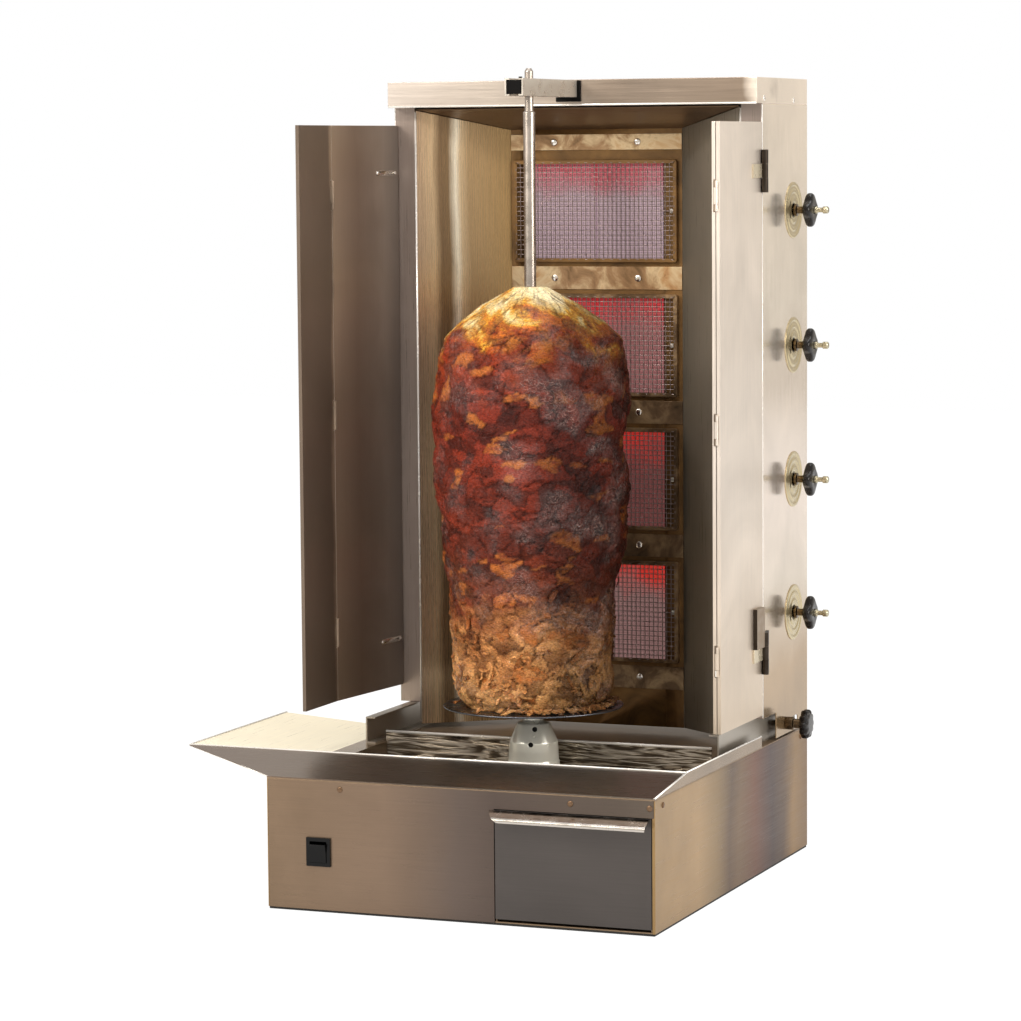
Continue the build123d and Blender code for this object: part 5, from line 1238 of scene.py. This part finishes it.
    def pan_film(self) -> None:
        """Film of fat and juice: a sheet on the pan's floor raised by slow waves, open round the drive.

        Its height is the floor + 0.9 + 0.5 sin(x/17 + 2 sin(y/23)) + 0.3 sin(y/6 + x/40) mm.
        """
        x, y = np.meshgrid(np.linspace(-236.3, 236.3, 120), np.linspace(RIM_Y + 1.7, PAN_BACK - 1.7, 60),
                           indexing="ij")
        wave = 0.9 + 0.5 * np.sin(x / 17 + 2 * np.sin(y / 23)) + 0.3 * np.sin(y / 6 + x / 40)
        away = np.hypot(x, y - SPIT_Y)
        heights = (np.where(away < 17.5, 0.3, wave), np.full(x.shape, 0.05))
        faces = slab_faces(*x.shape)
        faces = faces[away.reshape(-1)[faces % x.size].min(1) > 16.2]
        points = np.stack([np.stack([x, y, PAN_FLOOR + z], -1) for z in heights])
        dress(outward(object_from("pan_film", points, faces)), GREASE, "base", "tray_steel")

    def handle(self) -> None:
        """Drawer handle: a bent strip carried along X, its left end cut on a slant."""
        centre = rounded([(-325.6, 149.2), (-337.0, 145.2), (-346.0, 141.8), (-346.2, 137.0)], 3.5, 6)
        step = np.gradient(centre, axis=0)
        step /= np.linalg.norm(step, axis=1)[:, None]
        normal = 0.75 * np.stack([-step[:, 1], step[:, 0]], -1)
        y, z = np.concatenate([centre + normal, (centre - normal)[::-1]]).T
        x = np.array([45.0, 46.0, 150.0, 262.0, 263.0])[:, None]
        x = x + 1.5 * np.clip(149.0 - z, 0, 12) * (x < 100)
        grid = np.stack(np.broadcast_arrays(x, np.minimum(y, -325.05), z), -1)
        dress(closed_grid("drawer_pull", grid), PULL_STEEL, "drawer_body", "polished_steel", "drawer_handle")

    def build(self) -> None:
        """Dress the sheets and add hems, film and handle."""
        for node, finish, body, slot, width in self.skins:
            dress(softened(node, width), finish, body, slot, node)
        for name in ("cabinet_left_panel", "cabinet_right_panel"):
            self.panel(name)
        for name, side, angle in (("right", 1.0, 0.0), ("left", -1.0, self.left_angle)):
            self.door(f"door_{name}", f"{name}_door", side, math.radians(angle))
            self.straps(f"{name}_door", side, math.radians(angle))
        self.tray()
        self.hems()
        self.pan_film()
        self.handle()


@dataclass
class Fasteners:
    """Domed screw heads of the base and the cabinet."""

    radius: float = 4.0
    wall_radius: float = 5.0
    height: float = 2.0
    base_z: float = 163.9
    wall_y: float = 201.5

    def head(self, place: Spot, axis: Axis, sign: float, radius: float) -> Piece:
        """Domed head: height falls off as the square root of 1 - (r/R)^2, over a thin washer edge.

        Args:
            place: Middle of the seat.
            axis: Axis that the head points along.
            sign: 1 or -1 for the direction.
            radius: Head radius.

        Returns:
            The closed head.
        """
        t = np.linspace(0, np.pi / 2, 7)
        arc = np.stack([radius * np.cos(t), 0.35 + (self.height - 0.4) * np.sin(t)], -1)
        profile = np.vstack([[(0, 0.02), (radius, 0.02)], arc]) * (1, sign)
        return closed_grid("screw", lathe_grid(profile, place, axis, 24))

    def sides(self, y: float, z: float) -> list[Piece]:
        """One head on each side of the grill."""
        return [self.head((s * BASE_HALF_W, y, z), Axis.X, s, self.radius) for s in (1, -1)]

    def build(self) -> None:
        """Make both groups of screws."""
        base = [self.head((x, FRONT_Y, self.base_z), Axis.Y, -1, self.radius) for x in (-165.0, 156.0, 263.0)]
        base += self.sides(-294.0, self.base_z) + self.sides(294.0, self.base_z)
        dress(joined("base_screw_heads", base), SCREW_BRASS, "base", "polished_steel", "base_screws")
        cab = self.sides(128.0, 1059.0) + self.sides(VALVE_Y, 1057.0)
        cab += [self.head((x, -FRONT_Y, z), Axis.Y, 1, self.radius) for x in (-256.5, 256.5)
                for z in (235.0, 633.5, 1032.0)]
        cab += [self.head((x, self.wall_y, z), Axis.Y, -1, self.wall_radius)
                for z in (1002.0, *[z - 93.5 for z in BURNER_Z]) for x in (-62.0, 62.0)]
        dress(joined("cabinet_screw_heads", cab), POLISHED, "cabinet", "polished_steel", "cabinet_screws")


@dataclass
class HiddenNodes:
    """CAD nodes inside the covers, which keep their shape and get a finish."""

    finishes: tuple[tuple[str, Finish], ...] = (
        ("base_floor", INNER_SHEET), ("gear_motor", CAST_BODY), ("spindle_bearing", CAST_BODY),
        ("drawer_runners", INNER_SHEET), ("drive_spindle", SATIN_ROD), ("gas_manifold", STEM_BRASS),
        *[(f"burner_{number}", BURNER_BODY) for number in range(1, 5)])

    def build(self) -> None:
        """Assign the finishes."""
        for node, finish in self.finishes:
            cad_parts[node].data.materials.clear()
            coat(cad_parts[node], finish)


@dataclass
class Studio:
    """Camera, floor, backdrop and lamps; places are in metres and angles in degrees."""

    lens: float = 131.3
    yaw: float = 21.69
    pitch: float = 5.51
    roll: float = -0.45
    place: Spot = (1.8161, -4.6963, 0.9901)
    target: Spot = (0.0, 0.0, 0.55)
    floor_mm: float = 9000.0

    def put(self, name: str, data: bpy.types.ID, place: Spot, *axes: np.ndarray) -> Piece:
        """Place a camera or a lamp.

        Args:
            name: Its name.
            data: Its data.
            place: Where it stands.
            axes: The unit vectors that its own X, Y and Z point along.

        Returns:
            The linked object.
        """
        made = bpy.data.objects.new(name, data)
        bpy.context.scene.collection.objects.link(made)
        matrix = np.eye(4)
        matrix[:3] = np.column_stack([*axes, place])
        made.matrix_world = Matrix(matrix.tolist())
        return made

    def camera(self) -> None:
        """Camera at the photograph's place, turned by yaw, pitch and roll."""
        a, e, r = (math.radians(v) for v in (self.yaw, self.pitch, self.roll))
        ahead = np.array([-math.sin(a) * math.cos(e), math.cos(a) * math.cos(e), -math.sin(e)])
        right = np.array([math.cos(a), math.sin(a), 0.0])
        up = np.cross(right, ahead)
        data = bpy.data.cameras.new("camera")
        data.lens, data.sensor_width = self.lens, 36.0
        across = math.cos(r) * right + math.sin(r) * up
        over = math.cos(r) * up - math.sin(r) * right
        bpy.context.scene.camera = self.put("camera", data, self.place, across, over, -ahead)

    def floor(self) -> None:
        """Wide pale floor that shows white to the camera and keeps a faint shadow."""
        line = np.linspace(-self.floor_mm, self.floor_mm, 9)
        x, y = np.meshgrid(line, line, indexing="ij")
        made = object_from("floor", np.stack([x, y, np.zeros_like(x)], -1), quads(9, 9))
        material = bpy.data.materials.new("pale_floor")
        material.use_nodes = True
        tree = material.node_tree
        tree.nodes.clear()
        rays = add(tree, "LightPath").outputs
        seen = add(tree, "Math", {0: rays["Is Camera Ray"], 1: 0.9}, operation="MULTIPLY").outputs[0]
        mirrored = add(tree, "Math", {0: rays["Is Glossy Ray"], 1: 0.5}, operation="MULTIPLY").outputs[0]
        total = add(tree, "Math", {0: seen, 1: mirrored}, operation="ADD").outputs[0]
        matt = add(tree, "BsdfDiffuse", {"Color": "#F4F4F4"}).outputs[0]
        light = add(tree, "Emission", {"Color": "#FFFFFF", "Strength": 1.06}).outputs[0]
        mix = add(tree, "MixShader", {0: total, 1: matt, 2: light})
        add(tree, "OutputMaterial", {"Surface": mix.outputs[0]})
        made.data.materials.append(material)

    def world(self) -> None:
        """White to the camera; soft bands of warm grey to reflections and light."""
        world = bpy.data.worlds.new("studio_air")
        bpy.context.scene.world = world
        world.use_nodes = True
        tree = world.node_tree
        tree.nodes.clear()
        up = add(tree, "SeparateXYZ", {0: add(tree, "TexCoord").outputs["Generated"]}).outputs[2]
        height = add(tree, "MapRange", {"Value": up, "From Min": -0.2, "From Max": 0.9}).outputs[0]
        air = ramp(height, ((0.0, "#CFC8BE"), (0.2, "#E6DFD5"), (0.45, "#F7F2EA"), (1.0, "#FFFFFF")))
        room = add(tree, "Background", {"Color": air, "Strength": 0.85}).outputs[0]
        white = add(tree, "Background", {"Color": "#FFFFFF", "Strength": 1.0}).outputs[0]
        camera_ray = add(tree, "LightPath").outputs["Is Camera Ray"]
        mix = add(tree, "MixShader", {0: camera_ray, 1: room, 2: white})
        add(tree, "OutputWorld", {"Surface": mix.outputs[0]})

    def lamp(self, name: str, place: Spot, size: float, power: float, code: str) -> None:
        """Square area lamp that faces the grill's middle.

        Args:
            name: Lamp name.
            place: Where it hangs.
            size: Side in metres.
            power: Power in watts.
            code: Hex colour.
        """
        data = bpy.data.lights.new(name, "AREA")
        data.shape, data.size, data.energy, data.color = "SQUARE", size, power, linear(code)[:3]
        back = np.subtract(place, self.target)
        back /= np.linalg.norm(back)
        side = np.cross(UP, back)
        side /= np.linalg.norm(side)
        self.put(name, data, place, side, np.cross(back, side), back)

    def build(self) -> None:
        """Set up the view, the floor and the light."""
        self.camera()
        self.floor()
        self.world()
        self.lamp("key", (-2.2, -2.8, 2.6), 1.4, 70.0, "#FFF6EA")
        self.lamp("side", (3.4, -0.6, 1.8), 1.6, 60.0, "#FFF8F0")
        self.lamp("top", (0.0, 0.3, 3.6), 1.8, 40.0, "#FFFFFF")
        self.lamp("glint", (-0.4, -2.4, 2.9), 0.3, 38.0, "#FFF8F4")
        bpy.context.scene.view_settings.view_transform = "Standard"


def main() -> None:
    """Build every sub-assembly in order."""
    logging.basicConfig(level=logging.INFO)
    for assembly in (Studio(), SheetWork(), Burners(), TurningSpit(), Knobs(), Fasteners(), HiddenNodes()):
        assembly.build()


if __name__ == "__main__":
    main()
